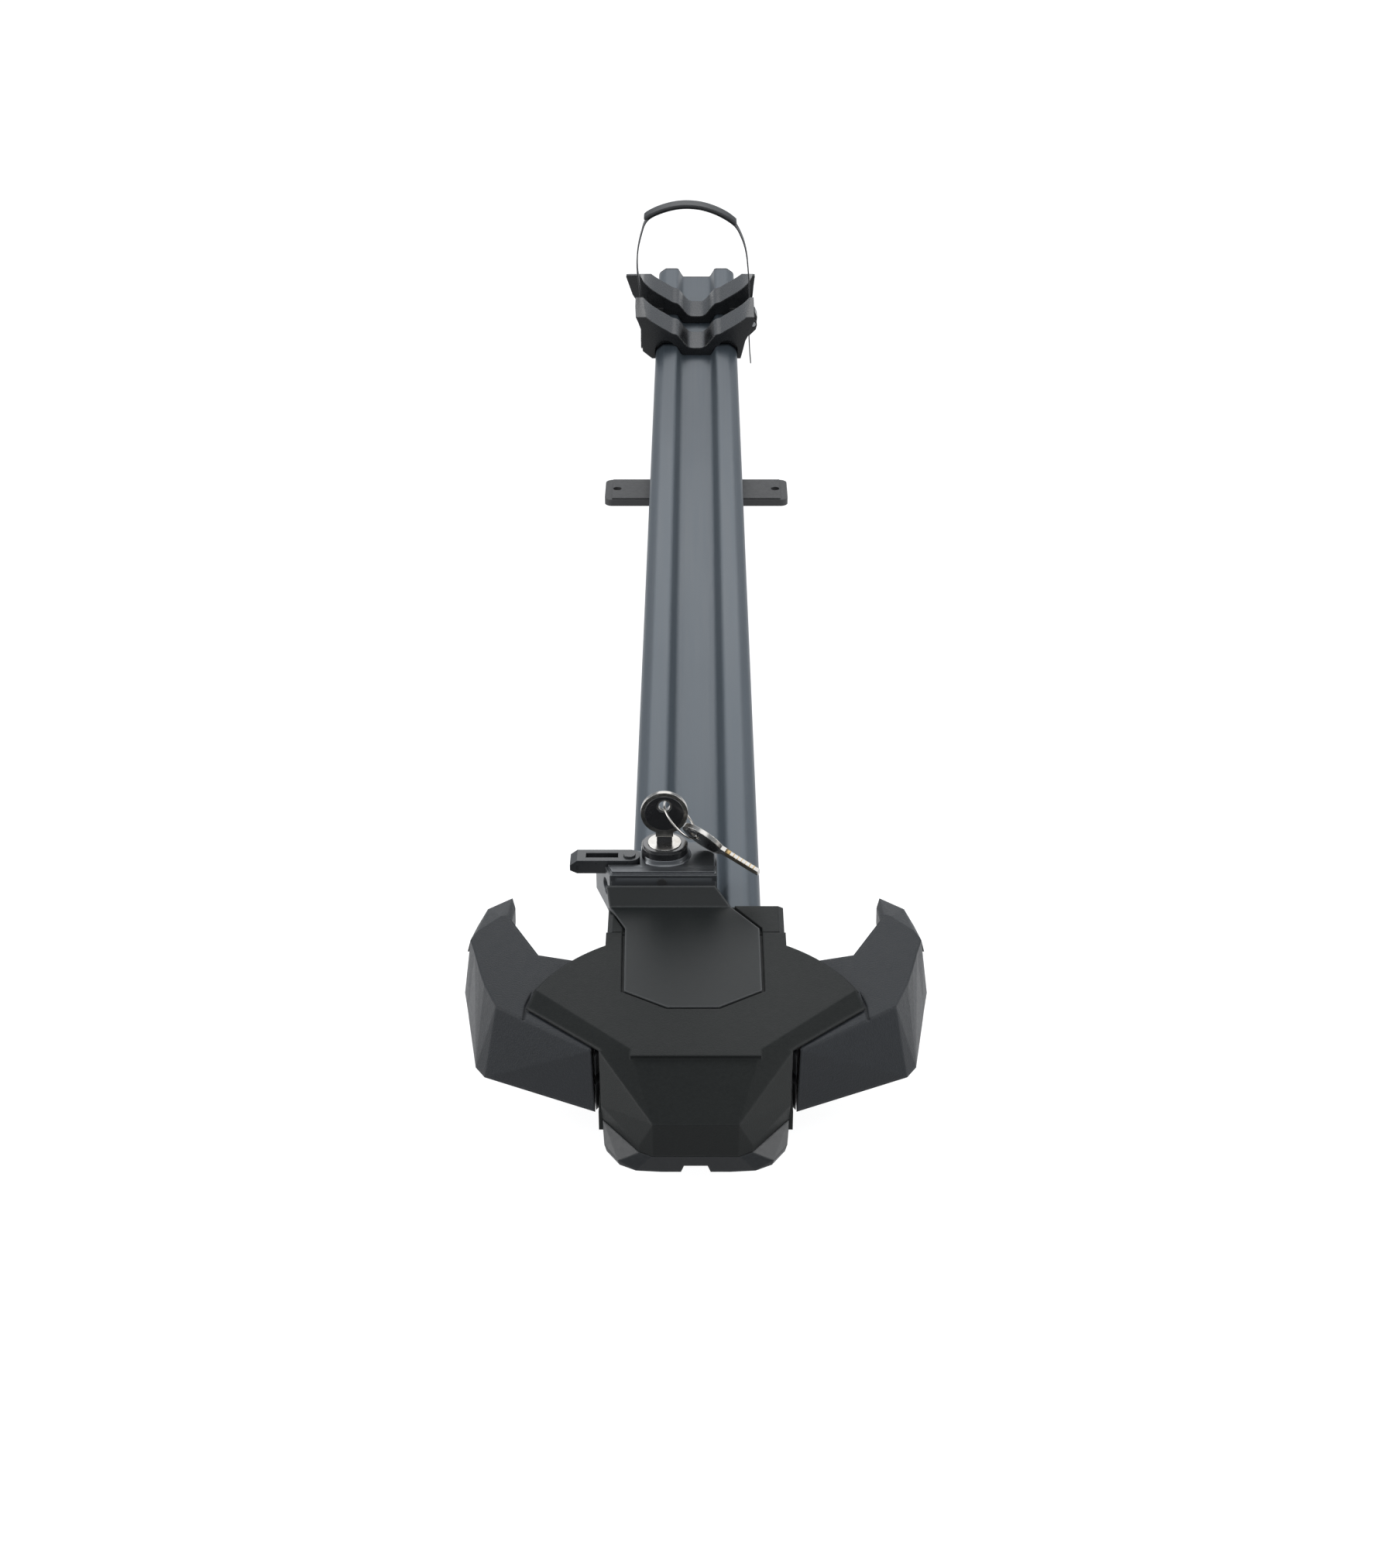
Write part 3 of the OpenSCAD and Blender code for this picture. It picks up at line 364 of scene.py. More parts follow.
class Finishes:
    """The finishes of the carrier."""

    ANODISED = Finish("satin_anodised", (0.050, 0.064, 0.077), (0.059, 0.073, 0.086), 0.40, 0.45,
                      grain=1400, depth=0.00003, spread=3.0, wear_and_highlight=0.1, edge=0.0040,
                      lay=Lay.ALONG_TRAY)
    COVER = Finish("cover_plastic", (0.0080, 0.0092, 0.0088), (0.0110, 0.0122, 0.0114), 0.46,
                   grain=1500, depth=0.00012, wear_and_highlight=0.10, edge=0.0014, specular=0.13)
    CLAW = Finish("claw_plastic", (0.0100, 0.0115, 0.0135), (0.0140, 0.0160, 0.0185), 0.44,
                  grain=1300, depth=0.00022, wear_and_highlight=0.16, edge=0.0022, specular=0.2)
    HANDLE = Finish("handle_plastic", (0.012, 0.013, 0.014), (0.016, 0.017, 0.018), 0.34,
                    grain=1200, depth=0.00003, wear_and_highlight=0.2, edge=0.0012, specular=0.25)
    # Panel and tower: pale edges at near full strength, mostly a painted highlight of their bright
    # rims
    PANEL = Finish("panel_coat", (0.0110, 0.0125, 0.0125), (0.0140, 0.0155, 0.0155), 0.40,
                   grain=1400, depth=0.00003, wear_and_highlight=1.0, edge=0.0011, specular=0.16)
    TOWER = Finish("tower_coat", (0.070, 0.074, 0.078), (0.088, 0.093, 0.097), 0.36, 0.6,
                   grain=1500, depth=0.00003, wear_and_highlight=0.9, edge=0.0007, lay=Lay.ACROSS)
    LEVER = Finish("lever_coat", (0.028, 0.030, 0.032), (0.036, 0.038, 0.040), 0.30, 0.3,
                   grain=900, depth=0.00003, wear_and_highlight=0.5, edge=0.0006)
    LOCK_RIM = Finish("lock_rim", (0.012, 0.012, 0.013), (0.018, 0.018, 0.019), 0.25,
                      grain=700, depth=0.00002, wear_and_highlight=0.2, coat=0.4)
    NICKEL = Finish("worn_nickel", (0.46, 0.45, 0.43), (0.36, 0.34, 0.31), 0.24, 1.0,
                    grain=1300, depth=0.00002, spread=60.0, wear_and_highlight=0.4, edge=0.0004)
    BRASS = Finish("key_brass", (0.42, 0.30, 0.14), (0.34, 0.24, 0.12), 0.3, 1.0,
                   grain=1200, depth=0.00003, spread=60.0, wear_and_highlight=0.3, edge=0.0003)
    ZINC = Finish("zinc_plate", (0.34, 0.35, 0.36), (0.28, 0.29, 0.30), 0.34, 1.0,
                  grain=800, depth=0.00003, spread=40.0, wear_and_highlight=0.3)
    RUBBER = Finish("black_rubber", (0.014, 0.014, 0.014), (0.020, 0.020, 0.020), 0.75,
                    grain=600, depth=0.00008, wear_and_highlight=0.1)
    PLATE = Finish("powder_coat", (0.016, 0.016, 0.017), (0.022, 0.022, 0.023), 0.55,
                   grain=1000, depth=0.00010, wear_and_highlight=0.3)
    CRADLE = Finish("cradle_plastic", (0.0065, 0.0070, 0.0078), (0.0090, 0.0095, 0.0103), 0.27,
                    grain=700, depth=0.00003, wear_and_highlight=0.10, edge=0.0014, specular=0.34)
    STRAP = Finish("strap_rubber", (0.0100, 0.0105, 0.0115), (0.0130, 0.0135, 0.0145), 0.46,
                   grain=900, depth=0.00006, wear_and_highlight=0.15, specular=0.35, lay=Lay.ACROSS)
    BASE = Finish("base_plastic", (0.020, 0.021, 0.022), (0.028, 0.029, 0.030), 0.55,
                  grain=700, depth=0.00008, wear_and_highlight=0.15)


Looks = dict[Finish, tuple[str, ...]]


def turns(steps: int) -> list[float]:
    """Angles of a full turn.

    Args:
        steps: Number of angles.

    Returns:
        The angles in radians.
    """
    return [2 * math.pi * k / steps for k in range(steps)]


def circle(centre: Flat, radius: float, steps: int) -> list[Flat]:
    """Points of a circle.

    Args:
        centre: Its middle.
        radius: Its radius.
        steps: Number of points.

    Returns:
        The points in order.
    """
    return [(centre[0] + radius * math.cos(a), centre[1] + radius * math.sin(a))
            for a in turns(steps)]


def smooth_line(knots: list[Flat], steps: int = 8) -> list[Vector]:
    """Draw a smooth line through knots.

    Args:
        knots: Points in the order of the line.
        steps: Points from one knot to the next.

    Returns:
        The line's points.
    """
    ends = [Vector(knots[0]) * 2 - Vector(knots[1]), Vector(knots[-1]) * 2 - Vector(knots[-2])]
    pts = [ends[0]] + [Vector(k) for k in knots] + [ends[1]]
    line = []
    for a, b, c, d in zip(pts, pts[1:], pts[2:], pts[3:]):
        for i in range(steps):
            t = i / steps
            line.append(0.5 * (2 * b + (c - a) * t + (2 * a - 5 * b + 4 * c - d) * t * t
                               + (3 * b - a - 3 * c + d) * t ** 3))
    return line + [pts[-2]]


@dataclass
class Piece:
    """A small piece that the frame leaves out, on a body, or on none if it spans two."""

    name: str
    body: str
    finish: Finish

    def surface(
        self, rings: list[list[Point]], capped: bool = True, bevel: float = PIECE_BEVEL,
    ) -> bpy.types.Object:
        """Join rings of points into one surface.

        Args:
            rings: Rings with the same number of points.
            capped: Whether the first and last ring are filled. If not, they are the same ring.
            bevel: Width of the edge bevel in metres, or 0 for none.

        Returns:
            The new object.
        """
        mesh = bmesh.new()
        loops = [[mesh.verts.new(Vector(point) / MM) for point in ring] for ring in rings]
        for one, two in zip(loops, loops[1:]):
            for k in range(len(one)):
                mesh.faces.new((one[k - 1], one[k], two[k], two[k - 1]))
        if capped:
            mesh.faces.new(loops[0])
            mesh.faces.new(loops[-1][::-1])
        else:
            bmesh.ops.remove_doubles(mesh, verts=mesh.verts[:], dist=MERGE)
        for face in mesh.faces:
            face.smooth = len(face.verts) == 4
        bmesh.ops.recalc_face_normals(mesh, faces=mesh.faces[:])
        data = bpy.data.meshes.new(self.name)
        mesh.to_mesh(data)
        mesh.free()
        return self._settle(data, bevel)

    def plate(
        self, loops: list[list[Flat]], thick: float, place: Matrix, rim: float = PIECE_BEVEL,
    ) -> bpy.types.Object:
        """Make a flat piece from closed outlines, with holes where one lies in another.

        Args:
            loops: Closed outlines in the piece's own plane.
            thick: Thickness, centred on the plane.
            place: Matrix from the piece's plane to the carrier's axes, in metres.
            rim: Radius of the rounded rim in metres.

        Returns:
            The new object.
        """
        curve = bpy.data.curves.new(self.name, "CURVE")
        curve.dimensions = "2D"
        curve.fill_mode = "BOTH"
        curve.extrude = max(THINNEST, thick / (2 * MM) - rim)
        curve.bevel_depth = rim
        curve.bevel_resolution = RIM_STEPS
        for loop in loops:
            spline = curve.splines.new("POLY")
            spline.points.add(len(loop) - 1)
            spline.use_cyclic_u = True
            for point, (u, v) in zip(spline.points, loop):
                point.co = (u / MM, v / MM, 0.0, 1.0)
        source = bpy.data.objects.new(self.name + "_outline", curve)
        bpy.context.scene.collection.objects.link(source)
        bpy.context.view_layer.update()
        solid = source.evaluated_get(bpy.context.evaluated_depsgraph_get())
        data = bpy.data.meshes.new_from_object(solid)
        bpy.data.objects.remove(source)
        data.transform(place)
        return self._settle(data, 0.0)

    def _settle(self, data: bpy.types.Mesh, bevel: float) -> bpy.types.Object:
        """Make the object of a mesh, with its finish, and set it on its body.

        Args:
            data: Mesh in metres.
            bevel: Width of the edge bevel in metres, or 0 for none.

        Returns:
            The new object.
        """
        obj = bpy.data.objects.new(self.name, data)
        bpy.context.scene.collection.objects.link(obj)
        obj.data.materials.clear()
        obj.data.materials.append(self.finish.build())
        if bevel > 0.0:
            edges = obj.modifiers.new("edges", "BEVEL")
            edges.width = bevel
            edges.segments = BEVEL_SEGMENTS
            edges.limit_method = "ANGLE"
            edges.angle_limit = math.radians(BEVEL_ANGLE)
        if self.body:
            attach(obj, self.body)
        LOG.info("made %s on %s", self.name, self.body or "two bodies")
        return obj


@dataclass
class Band(Piece):
    """A flat strap or pad that runs in a plane across the carrier.

    The higher square is, the flatter are the faces of its rounded section. Over the length taper
    each end thins out, down to the share end_size, and narrows to the share end_width.
    """

    middle: float = 1066.0
    width: float = 15.0
    thick: float = 1.3
    square: float = 5.0
    taper: float = 0.0
    end_size: float = 0.02
    end_width: float = 0.75
    sides: int = 24

    def run(self, knots: list[Flat]) -> bpy.types.Object:
        """Sweep the band's rounded section along a line.

        Args:
            knots: Points of its middle line as (X, Z).

        Returns:
            The new object.
        """
        line = smooth_line(knots)
        lengths = [0.0]
        for a, b in zip(line, line[1:]):
            lengths.append(lengths[-1] + (b - a).length)
        rings = []
        for i, mid in enumerate(line):
            along = (line[min(i + 1, len(line) - 1)] - line[max(i - 1, 0)]).normalized()
            size = self._size(min(lengths[i], lengths[-1] - lengths[i]))
            half = 0.5 * self.width * (self.end_width + (1 - self.end_width) * size)
            rise = 0.5 * self.thick * size
            section = [self._corner(a) for a in turns(self.sides)]
            rings.append([(mid.x - v * rise * along.y, self.middle + u * half,
                           mid.y + v * rise * along.x) for u, v in section])
        return self.surface(rings, bevel=0.0)

    def _size(self, left: float) -> float:
        """Size of the section near an end.

        Args:
            left: Length from here to the nearer end.

        Returns:
            Share of the full size.
        """
        if self.taper <= 0:
            return 1.0
        return math.sqrt(min(1.0, max(self.end_size, left / self.taper)))

    def _corner(self, turn: float) -> Flat:
        """Point of the rounded section for an angle.

        Args:
            turn: Angle in radians.

        Returns:
            Place across the width and through the thickness, each from -1 to 1.
        """
        power = 2.0 / self.square
        c, s = math.cos(turn), math.sin(turn)
        return (math.copysign(abs(c) ** power, c), math.copysign(abs(s) ** power, s))


class Assembly:
    """A sub-assembly: finishes for its nodes of the frame, and pieces of its own."""

    looks: ClassVar[Looks] = {}

    def build(self) -> None:
        """Dress the nodes and add the pieces."""
        for finish, nodes in self.looks.items():
            for node in nodes:
                self._dress(node, finish)
        self.add_pieces()

    def add_pieces(self) -> None:
        """Add nothing, where the frame holds all pieces."""

    @staticmethod
    def _dress(node: str, finish: Finish) -> None:
        """Give a frame node a finish.

        Args:
            node: Name of the node.
            finish: Finish that all its faces take.
        """
        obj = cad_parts[node]
        obj.data.materials.clear()
        obj.data.materials.append(finish.build())
        LOG.info("dressed %s with %s", node, finish.name)


@dataclass
class Tray(Assembly):
    """Aluminium tray with its end cap and screws."""

    looks: ClassVar[Looks] = {
        Finishes.ANODISED: ("tray_rail",),
        Finishes.BASE: ("tray_end_cap",),
        Finishes.ZINC: ("tray_screws",),
    }


@dataclass
class Head(Assembly):
    """Clamping head: base, cover, collar, claws, jaws and flip handle.

    The gap beside the nose is given as its least and greatest X and Y, each skirt in it by its
    lowest and highest Z. A skirt's inner front corner is cut back by corner, its top by lean.
    """

    looks: ClassVar[Looks] = {
        Finishes.BASE: ("head_base",),
        Finishes.COVER: ("head_cover", "rear_collar"),
        Finishes.CLAW: ("claw_left", "claw_right"),
        Finishes.ZINC: ("claw_yoke", "jaw_left", "jaw_right", "front_hooks", "handle_pin"),
        Finishes.HANDLE: ("clamp_handle",),
        Finishes.RUBBER: ("seat_pad", "jaw_pads"),
    }
    gap: tuple[float, float, float, float] = (50.8, 52.7, -91.6, -50.0)
    skirts: tuple[Flat, ...] = ((1.0, 16.6), (23.6, 35.0))
    corner: float = 3.0
    lean: float = 1.0

    def add_pieces(self) -> None:
        """Add the dark skirts that stand in each gap between the nose and a claw's arm."""
        for side, word in ((-1, "left"), (1, "right")):
            for level, (low, high) in enumerate(self.skirts):
                rings = [self._outline(side, low, 0.0), self._outline(side, high, self.lean)]
                Piece(f"skirt_{word}_{level}", "head", Finishes.BASE).surface(rings)

    def _outline(self, side: int, z: float, lean: float) -> list[Point]:
        """Outline of a skirt at one height.

        Args:
            side: -1 for the left gap and 1 for the right one.
            z: Height of the outline.
            lean: How far its front stands back.

        Returns:
            Its four corners.
        """
        x0, x1, y0, y1 = self.gap
        corners = ((x0, y0 + self.corner + lean), (x1, y0 + lean), (x1, y1), (x0, y1))
        return [(side * x, y, z) for x, y in corners]


@dataclass
class Tower(Assembly):
    """Tower with panel, lever and lock.

    Lock is the middle of the lock's rim as (X, Y), and rim its width and depth. Face is the
    front's least and greatest X, and roll its section as (Y, Z). Hole is (X, Z, radius) of the
    cross bore's mouth, where a black disc is the bore's painted shade; its rings are
    (Y, share of the radius). The rim's foot has flare as (distance outside the rim, Z), and
    stays to the right of the lever's shelf.
    """

    looks: ClassVar[Looks] = {
        Finishes.PANEL: ("tower_panel",),
        Finishes.TOWER: ("tower_block",),
        Finishes.LEVER: ("lever", "lever_pin"),
        Finishes.LOCK_RIM: ("lock_bezel",),
        Finishes.NICKEL: ("lock_plug",),
    }
    lock: Flat = (-18.0, 70.7)
    rim: Flat = (26.6, 24.0)
    rim_steps: int = 64
    face: Flat = (-48.4, 11.4)
    face_margin: float = 0.8
    roll: tuple[Flat, ...] = (
        (58.0, 58.7), (58.0, 59.15), (55.6, 59.05), (53.4, 58.4), (51.8, 57.1), (50.8, 55.2),
        (50.35, 52.6), (50.2, 49.0), (50.2, 41.2), (51.2, 41.2), (51.6, 52.0), (53.0, 56.6),
        (55.6, 58.4))
    hole: Point = (-19.5, 52.9, 2.8)
    shade_disc_rings: tuple[Flat, ...] = ((51.4, 1.0), (50.0, 1.0), (49.92, 0.85))
    hole_flat: float = 0.8
    hole_steps: int = 28
    flare: tuple[Flat, ...] = (
        (2.1, 59.0), (1.2, 59.45), (0.55, 60.3), (0.15, 61.8), (-0.6, 61.9), (-0.6, 59.0))
    shelf: float = -29.2

    def add_pieces(self) -> None:
        """Add the rolled front face, a black disc of painted shade in its hole, and the flared
        foot of the lock's rim.
        """
        left, right = self.face
        margin = self.face_margin
        cuts = (left, left + margin, (left + right) / 2, right - margin, right)
        Piece("tower_face", "head", Finishes.TOWER).surface(
            [[(x, y, z) for y, z in self.roll] for x in cuts])
        # Black disc at the bore's mouth: painted shade of the hole, in the rubber finish
        Piece("tower_hole_shade", "head", Finishes.RUBBER).surface(
            [self._shade_ring(y, share) for y, share in self.shade_disc_rings])
        Piece("rim_foot", "head", Finishes.TOWER).surface(
            [self._stadium(grow, z) for grow, z in self.flare + self.flare[:1]], capped=False)

    def _shade_ring(self, y: float, share: float) -> list[Point]:
        """Ring of the black disc painted as the shade in the hole's mouth.

        Args:
            y: Place of the ring.
            share: Its radius as a share of the hole's.

        Returns:
            Its points.
        """
        x, z, radius = self.hole
        r = radius * share
        return [(x + r * math.cos(a), y, z + self.hole_flat * r * math.sin(a))
                for a in turns(self.hole_steps)]

    def _stadium(self, grow: float, z: float) -> list[Point]:
        """Outline round the lock's rim.

        Args:
            grow: Distance outside the rim.
            z: Height of the outline.

        Returns:
            Its points, kept off the lever's shelf.
        """
        width, depth = self.rim
        reach = depth / 2 + grow
        pts = []
        for a in turns(self.rim_steps):
            side = math.copysign((width - depth) / 2, math.cos(a))
            pts.append((max(self.shelf, self.lock[0] + side + reach * math.cos(a)),
                        self.lock[1] + reach * math.sin(a), z))
        return pts


@dataclass
class Keys(Assembly):
    """Two keys on a wire ring, with measures from the ring hole of a key.

    Ring is how far the second key hangs from the first, and lean that line's angle in degrees
    from straight down. Second_turn is its yaw, pitch and roll in degrees. Drop is the distance
    from the hole down to the bow's middle, and bow its width. Each cut is given by its depth, and
    cut_span says over which shares of its step it has that depth. Uncut is the length without
    cuts, and overrun what the blade has beyond its stated length.
    """

    looks: ClassVar[Looks] = {Finishes.NICKEL: ("key_ring", "key", "second_key")}
    hole: Point = (-18.0, 70.7, 92.0)
    ring: float = 26.5
    lean: float = 43.0
    bow: float = 26.9
    drop: float = 5.0
    thick: float = 2.6
    second_turn: Point = (-27.0, 20.0, -38.0)
    insert_margin: float = 2.4
    insert_proud: float = 0.5
    insert_hole: float = 4.3
    bow_steps: int = 48
    hole_steps: int = 28
    blade_half: float = 4.3
    blade_thick: float = 2.4
    blade_rim: float = 0.0001
    blade_lap: float = 0.2
    shoulder: float = 4.0
    first_cut: float = 5.0
    tip: float = 3.0
    point: float = 0.1
    uncut: float = 6.0
    overrun: float = 2.0
    cut_span: Flat = (0.35, 0.6)
    cuts: tuple[float, ...] = (0.6, 1.5, 0.9, 2.0, 1.2, 0.5)

    def first(self) -> Matrix:
        """Place of the key in the lock."""
        return Matrix.Translation(Vector(self.hole) / MM)

    def second(self) -> Matrix:
        """Place of the key that hangs on the ring."""
        lean = math.radians(self.lean)
        low = Vector(self.hole) + self.ring * Vector((math.sin(lean), 0.0, -math.cos(lean)))
        yaw, pitch, roll = (math.radians(a) for a in self.second_turn)
        return (Matrix.Translation(low / MM) @ Matrix.Rotation(yaw, 4, "Z")
                @ Matrix.Rotation(pitch - math.pi / 2, 4, "Y") @ Matrix.Rotation(roll, 4, "Z"))

    def add_pieces(self) -> None:
        """Add the dark insert and the cut blade of both keys."""
        upright = Matrix.Rotation(math.pi / 2, 4, "X")
        for node, place, length, finish in (
            ("key", self.first(), 20.0, Finishes.LOCK_RIM),
            ("second_key", self.second(), 22.0, Finishes.BRASS),
        ):
            self._insert(node, place @ upright)
            self._blade(node, place @ upright, length, finish)

    def _insert(self, node: str, place: Matrix) -> None:
        """Add the dark insert of a bow.

        Args:
            node: Key that carries it.
            place: Matrix of the key's plane.
        """
        loops = [circle((0.0, -self.drop), self.bow / 2 - self.insert_margin, self.bow_steps),
                 circle((0.0, 0.0), self.insert_hole, self.hole_steps)]
        Piece(node + "_insert", node, Finishes.LOCK_RIM).plate(
            loops, self.thick + self.insert_proud, place)

    def _blade(self, node: str, place: Matrix, length: float, finish: Finish) -> None:
        """Add the cut blade over the plain one.

        Args:
            node: Key that carries it.
            place: Matrix of the key's plane.
            length: Length of the blade.
            finish: Finish of the blade.
        """
        half = self.blade_half
        top = -self.drop - self.bow / 2 + self.blade_lap
        low = top - self.overrun - length
        edge = [(half, top), (half, top - self.shoulder)]
        step = (length - self.uncut) / len(self.cuts)
        for i, cut in enumerate(self.cuts):
            y = top - self.first_cut - i * step
            edge += [(half, y)] + [(half - cut, y - step * share) for share in self.cut_span]
        edge += [(half, low + self.tip), (0.0, low - self.point), (-half, low + self.tip),
                 (-half, top)]
        Piece(node + "_blade", node, finish).plate(
            [edge], self.blade_thick, place, self.blade_rim)


@dataclass
class CrossPlate(Assembly):
    """Plate under the tray for the rear bar."""

    looks: ClassVar[Looks] = {
        Finishes.PLATE: ("rear_plate",),
        Finishes.ZINC: ("plate_screw", "slot_nut"),
    }


@dataclass
class Cradle(Assembly):
    """Wheel cradle with knob, strap and buckle; the strap's lines are (X, Z).

    Anchored and free, heights meant to part the strap's fixed lower end from the part that moves
    when it is tightened, are not used. Pad_lift is how far the pad's middle line stands off it.
    """

    looks: ClassVar[Looks] = {
        Finishes.CRADLE: ("cradle_body", "cradle_knob", "buckle_base", "buckle_lever"),
        Finishes.STRAP: ("wheel_strap", "strap_pad", "strap_tail"),
        Finishes.ZINC: ("strap_anchor", "buckle_pin", "buckle_pawl"),
    }
    anchored: float = 46.0
    free: float = 88.0
    leg_left: tuple[Flat, ...] = (
        (-52.5, 43.5), (-52.6, 52.0), (-53.5, 68.0), (-55.0, 82.0), (-55.0, 94.0), (-53.6, 106.0),
        (-50.6, 118.0), (-47.6, 126.8))
    crown: tuple[Flat, ...] = (
        (-42.5, 132.8), (-33.0, 137.4), (-21.0, 140.9), (-9.0, 142.1), (4.0, 140.9), (16.6, 137.0),
        (27.8, 131.2), (36.2, 124.6))
    leg_right: tuple[Flat, ...] = (
        (41.3, 115.6), (44.8, 106.0), (46.9, 96.0), (48.2, 84.0), (49.3, 70.0), (49.6, 58.0),
        (49.6, 46.0))
    tail: tuple[Flat, ...] = (
        (49.4, 67.0), (49.6, 57.0), (49.6, 45.0), (49.6, 29.0), (49.8, 19.0), (50.6, 4.0),
        (51.6, -7.0))
    pad_start: Flat = (-48.2, 131.6)
    pad_lift: float = 2.2
    crown_radius: float = 80.0

    def add_pieces(self) -> None:
        """Add the strap, its pad and its tail as bands swept along curved lines, in place of the
        frame's ones.
        """
        strap = Band("strap_band", "", Finishes.STRAP).run(
            list(self.leg_left + self.crown + self.leg_right))
        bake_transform(strap)
        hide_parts("wheel_strap")

        spread = 1 + self.pad_lift / self.crown_radius
        raised = [(x * spread, z + self.pad_lift) for x, z in self.crown]
        pad = Band("strap_cushion", "strap", Finishes.STRAP, width=17.0, thick=3.2, taper=1.2).run(
            [self.pad_start] + raised)
        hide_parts("strap_pad")

        tail = Band("strap_tail_band", "strap_tail", Finishes.STRAP, width=14.6, thick=1.1).run(
            list(self.tail))
        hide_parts("strap_tail")


@dataclass(frozen=True)
class Lamp:
    """A square soft lamp; places and size in metres, power in watts."""

    name: str
    place: Point
    aim: Point
    size: float
    power: float

    def hang(self) -> None:
        """Add the lamp, turned to its aim."""
        data = bpy.data.lights.new(self.name, "AREA")
        data.size = self.size
        data.energy = self.power
        obj = bpy.data.objects.new(self.name, data)
        obj.location = self.place
        ray = Vector(self.aim) - Vector(self.place)
        obj.rotation_euler = ray.to_track_quat("-Z", "Y").to_euler()
        bpy.context.scene.collection.objects.link(obj)


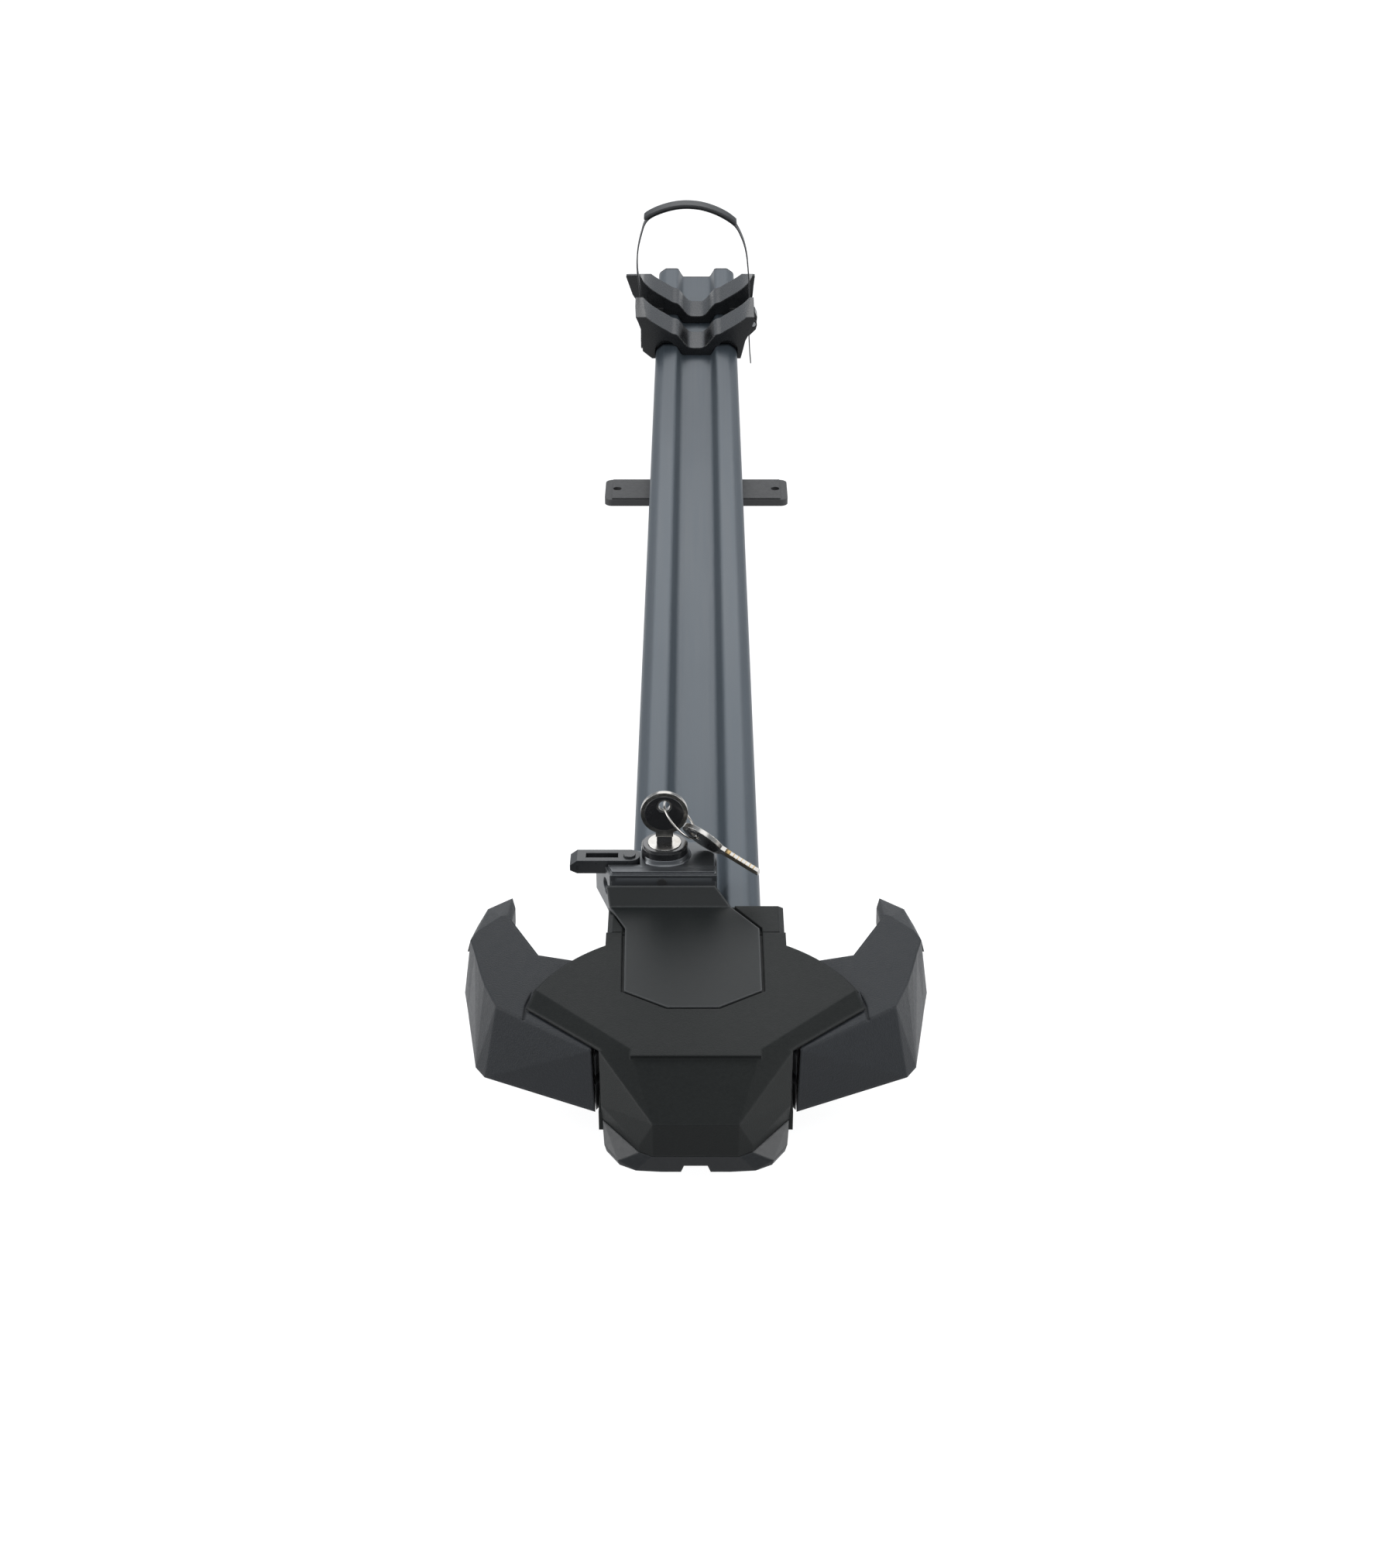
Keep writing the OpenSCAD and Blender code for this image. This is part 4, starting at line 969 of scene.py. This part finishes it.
@dataclass
class Studio:
    """Floor, lamps, world and camera, in metres.

    Glow is the strength of the floor's white. To the camera it takes the share seen, and in
    reflections the share mirrored.
    """

    eye: Point = (0.0006, -1.081, 0.776)
    pitch: float = 30.2
    lens: float = 54.2
    sensor: float = 36.0
    far: float = 60.0
    floor: float = -0.031
    floor_reach: float = 9.0
    pale: Rgb = (0.75, 0.75, 0.76)
    pale_roughness: float = 0.9
    glow: float = 1.3
    seen: float = 0.7
    mirrored: float = 0.5
    sky: Rgb = (0.86, 0.92, 1.0)
    sky_strength: float = 0.55
    lamps: tuple[Lamp, ...] = (
        Lamp("key_lamp", (0.2, -0.9, 2.2), (0.0, 0.1, 0.0), 1.6, 15.0),
        Lamp("left_lamp", (-1.6, 0.1, 0.7), (0.0, 0.2, 0.0), 1.2, 26.0),
        Lamp("right_lamp", (1.6, 0.2, 0.8), (0.0, 0.2, 0.0), 1.2, 24.0),
        Lamp("rear_lamp", (0.0, 2.6, 1.6), (0.0, 0.6, 0.0), 1.8, 20.0),
    )

    def build(self) -> None:
        """Add everything round the carrier."""
        self._floor()
        self._world()
        for lamp in self.lamps:
            lamp.hang()
        self._camera()

    def _floor(self) -> None:
        """Add the pale floor, near white to the camera and plain to the light."""
        mesh = bpy.data.meshes.new("studio_floor")
        mesh.from_pydata(
            [(x * self.floor_reach, y * self.floor_reach, self.floor)
             for x, y in ((-1, -1), (1, -1), (1, 1), (-1, 1))], [], [(0, 1, 2, 3)])
        obj = bpy.data.objects.new("studio_floor", mesh)
        bpy.context.scene.collection.objects.link(obj)
        mat = bpy.data.materials.new("pale_floor")
        mat.use_nodes = True
        tree = mat.node_tree
        plain = tree.nodes["Principled BSDF"]
        plain.inputs["Base Color"].default_value = (*self.pale, 1.0)
        plain.inputs["Roughness"].default_value = self.pale_roughness
        glow = tree.nodes.new("ShaderNodeEmission")
        glow.inputs["Color"].default_value = (1.0, 1.0, 1.0, 1.0)
        glow.inputs["Strength"].default_value = self.glow
        path = tree.nodes.new("ShaderNodeLightPath")
        shine = self._share(tree, path.outputs["Is Glossy Ray"], self.mirrored, 0.0)
        share = self._share(tree, path.outputs["Is Camera Ray"], self.seen, shine)
        white = mix_shader(tree, share, plain.outputs["BSDF"], glow.outputs["Emission"])
        tree.links.new(white, tree.nodes["Material Output"].inputs["Surface"])
        obj.data.materials.append(mat)

    @staticmethod
    def _share(tree: Tree, ray: Socket, share: float, more: Socket | float) -> Socket:
        """Add the share that a kind of ray takes of a mix.

        Args:
            tree: Node tree that takes the node.
            ray: Socket that is 1 for the kind of ray.
            share: Its share.
            more: Share of other rays, which is added.

        Returns:
            Socket of the whole share.
        """
        node = tree.nodes.new("ShaderNodeMath")
        node.operation = "MULTIPLY_ADD"
        tree.links.new(ray, node.inputs[0])
        node.inputs[1].default_value = share
        feed(tree, more, node.inputs[2])
        return node.outputs["Value"]

    def _world(self) -> None:
        """Light the scene softly and keep the backdrop white to the camera."""
        world = bpy.data.worlds.new("studio_world")
        bpy.context.scene.world = world
        world.use_nodes = True
        tree = world.node_tree
        soft = tree.nodes["Background"]
        soft.inputs["Color"].default_value = (*self.sky, 1.0)
        soft.inputs["Strength"].default_value = self.sky_strength
        white = tree.nodes.new("ShaderNodeBackground")
        white.inputs["Color"].default_value = (1.0, 1.0, 1.0, 1.0)
        white.inputs["Strength"].default_value = 1.0
        path = tree.nodes.new("ShaderNodeLightPath")
        seen = mix_shader(tree, path.outputs["Is Camera Ray"],
                          soft.outputs["Background"], white.outputs["Background"])
        tree.links.new(seen, tree.nodes["World Output"].inputs["Surface"])

    def _camera(self) -> None:
        """Add the camera at the measured viewing angle."""
        data = bpy.data.cameras.new("camera")
        data.sensor_fit = "VERTICAL"
        data.sensor_height = self.sensor
        data.lens = self.lens
        data.clip_end = self.far
        obj = bpy.data.objects.new("camera", data)
        obj.location = self.eye
        obj.rotation_euler = (math.radians(90.0 - self.pitch), 0.0, 0.0)
        bpy.context.scene.collection.objects.link(obj)
        bpy.context.scene.camera = obj
        bpy.context.scene.view_settings.view_transform = "Standard"


def main() -> None:
    """Build the carrier's looks in order and make sure every frame node has a finish."""
    logging.basicConfig(level=logging.INFO, format="%(name)s: %(message)s")
    for part in (Tray(), Head(), Tower(), Keys(), CrossPlate(), Cradle(), Studio()):
        LOG.info("building %s", type(part).__name__)
        part.build()
    for name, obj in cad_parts.items():
        if not obj.data.materials:
            raise ValueError("no finish on " + name)


if __name__ == "__main__":
    main()
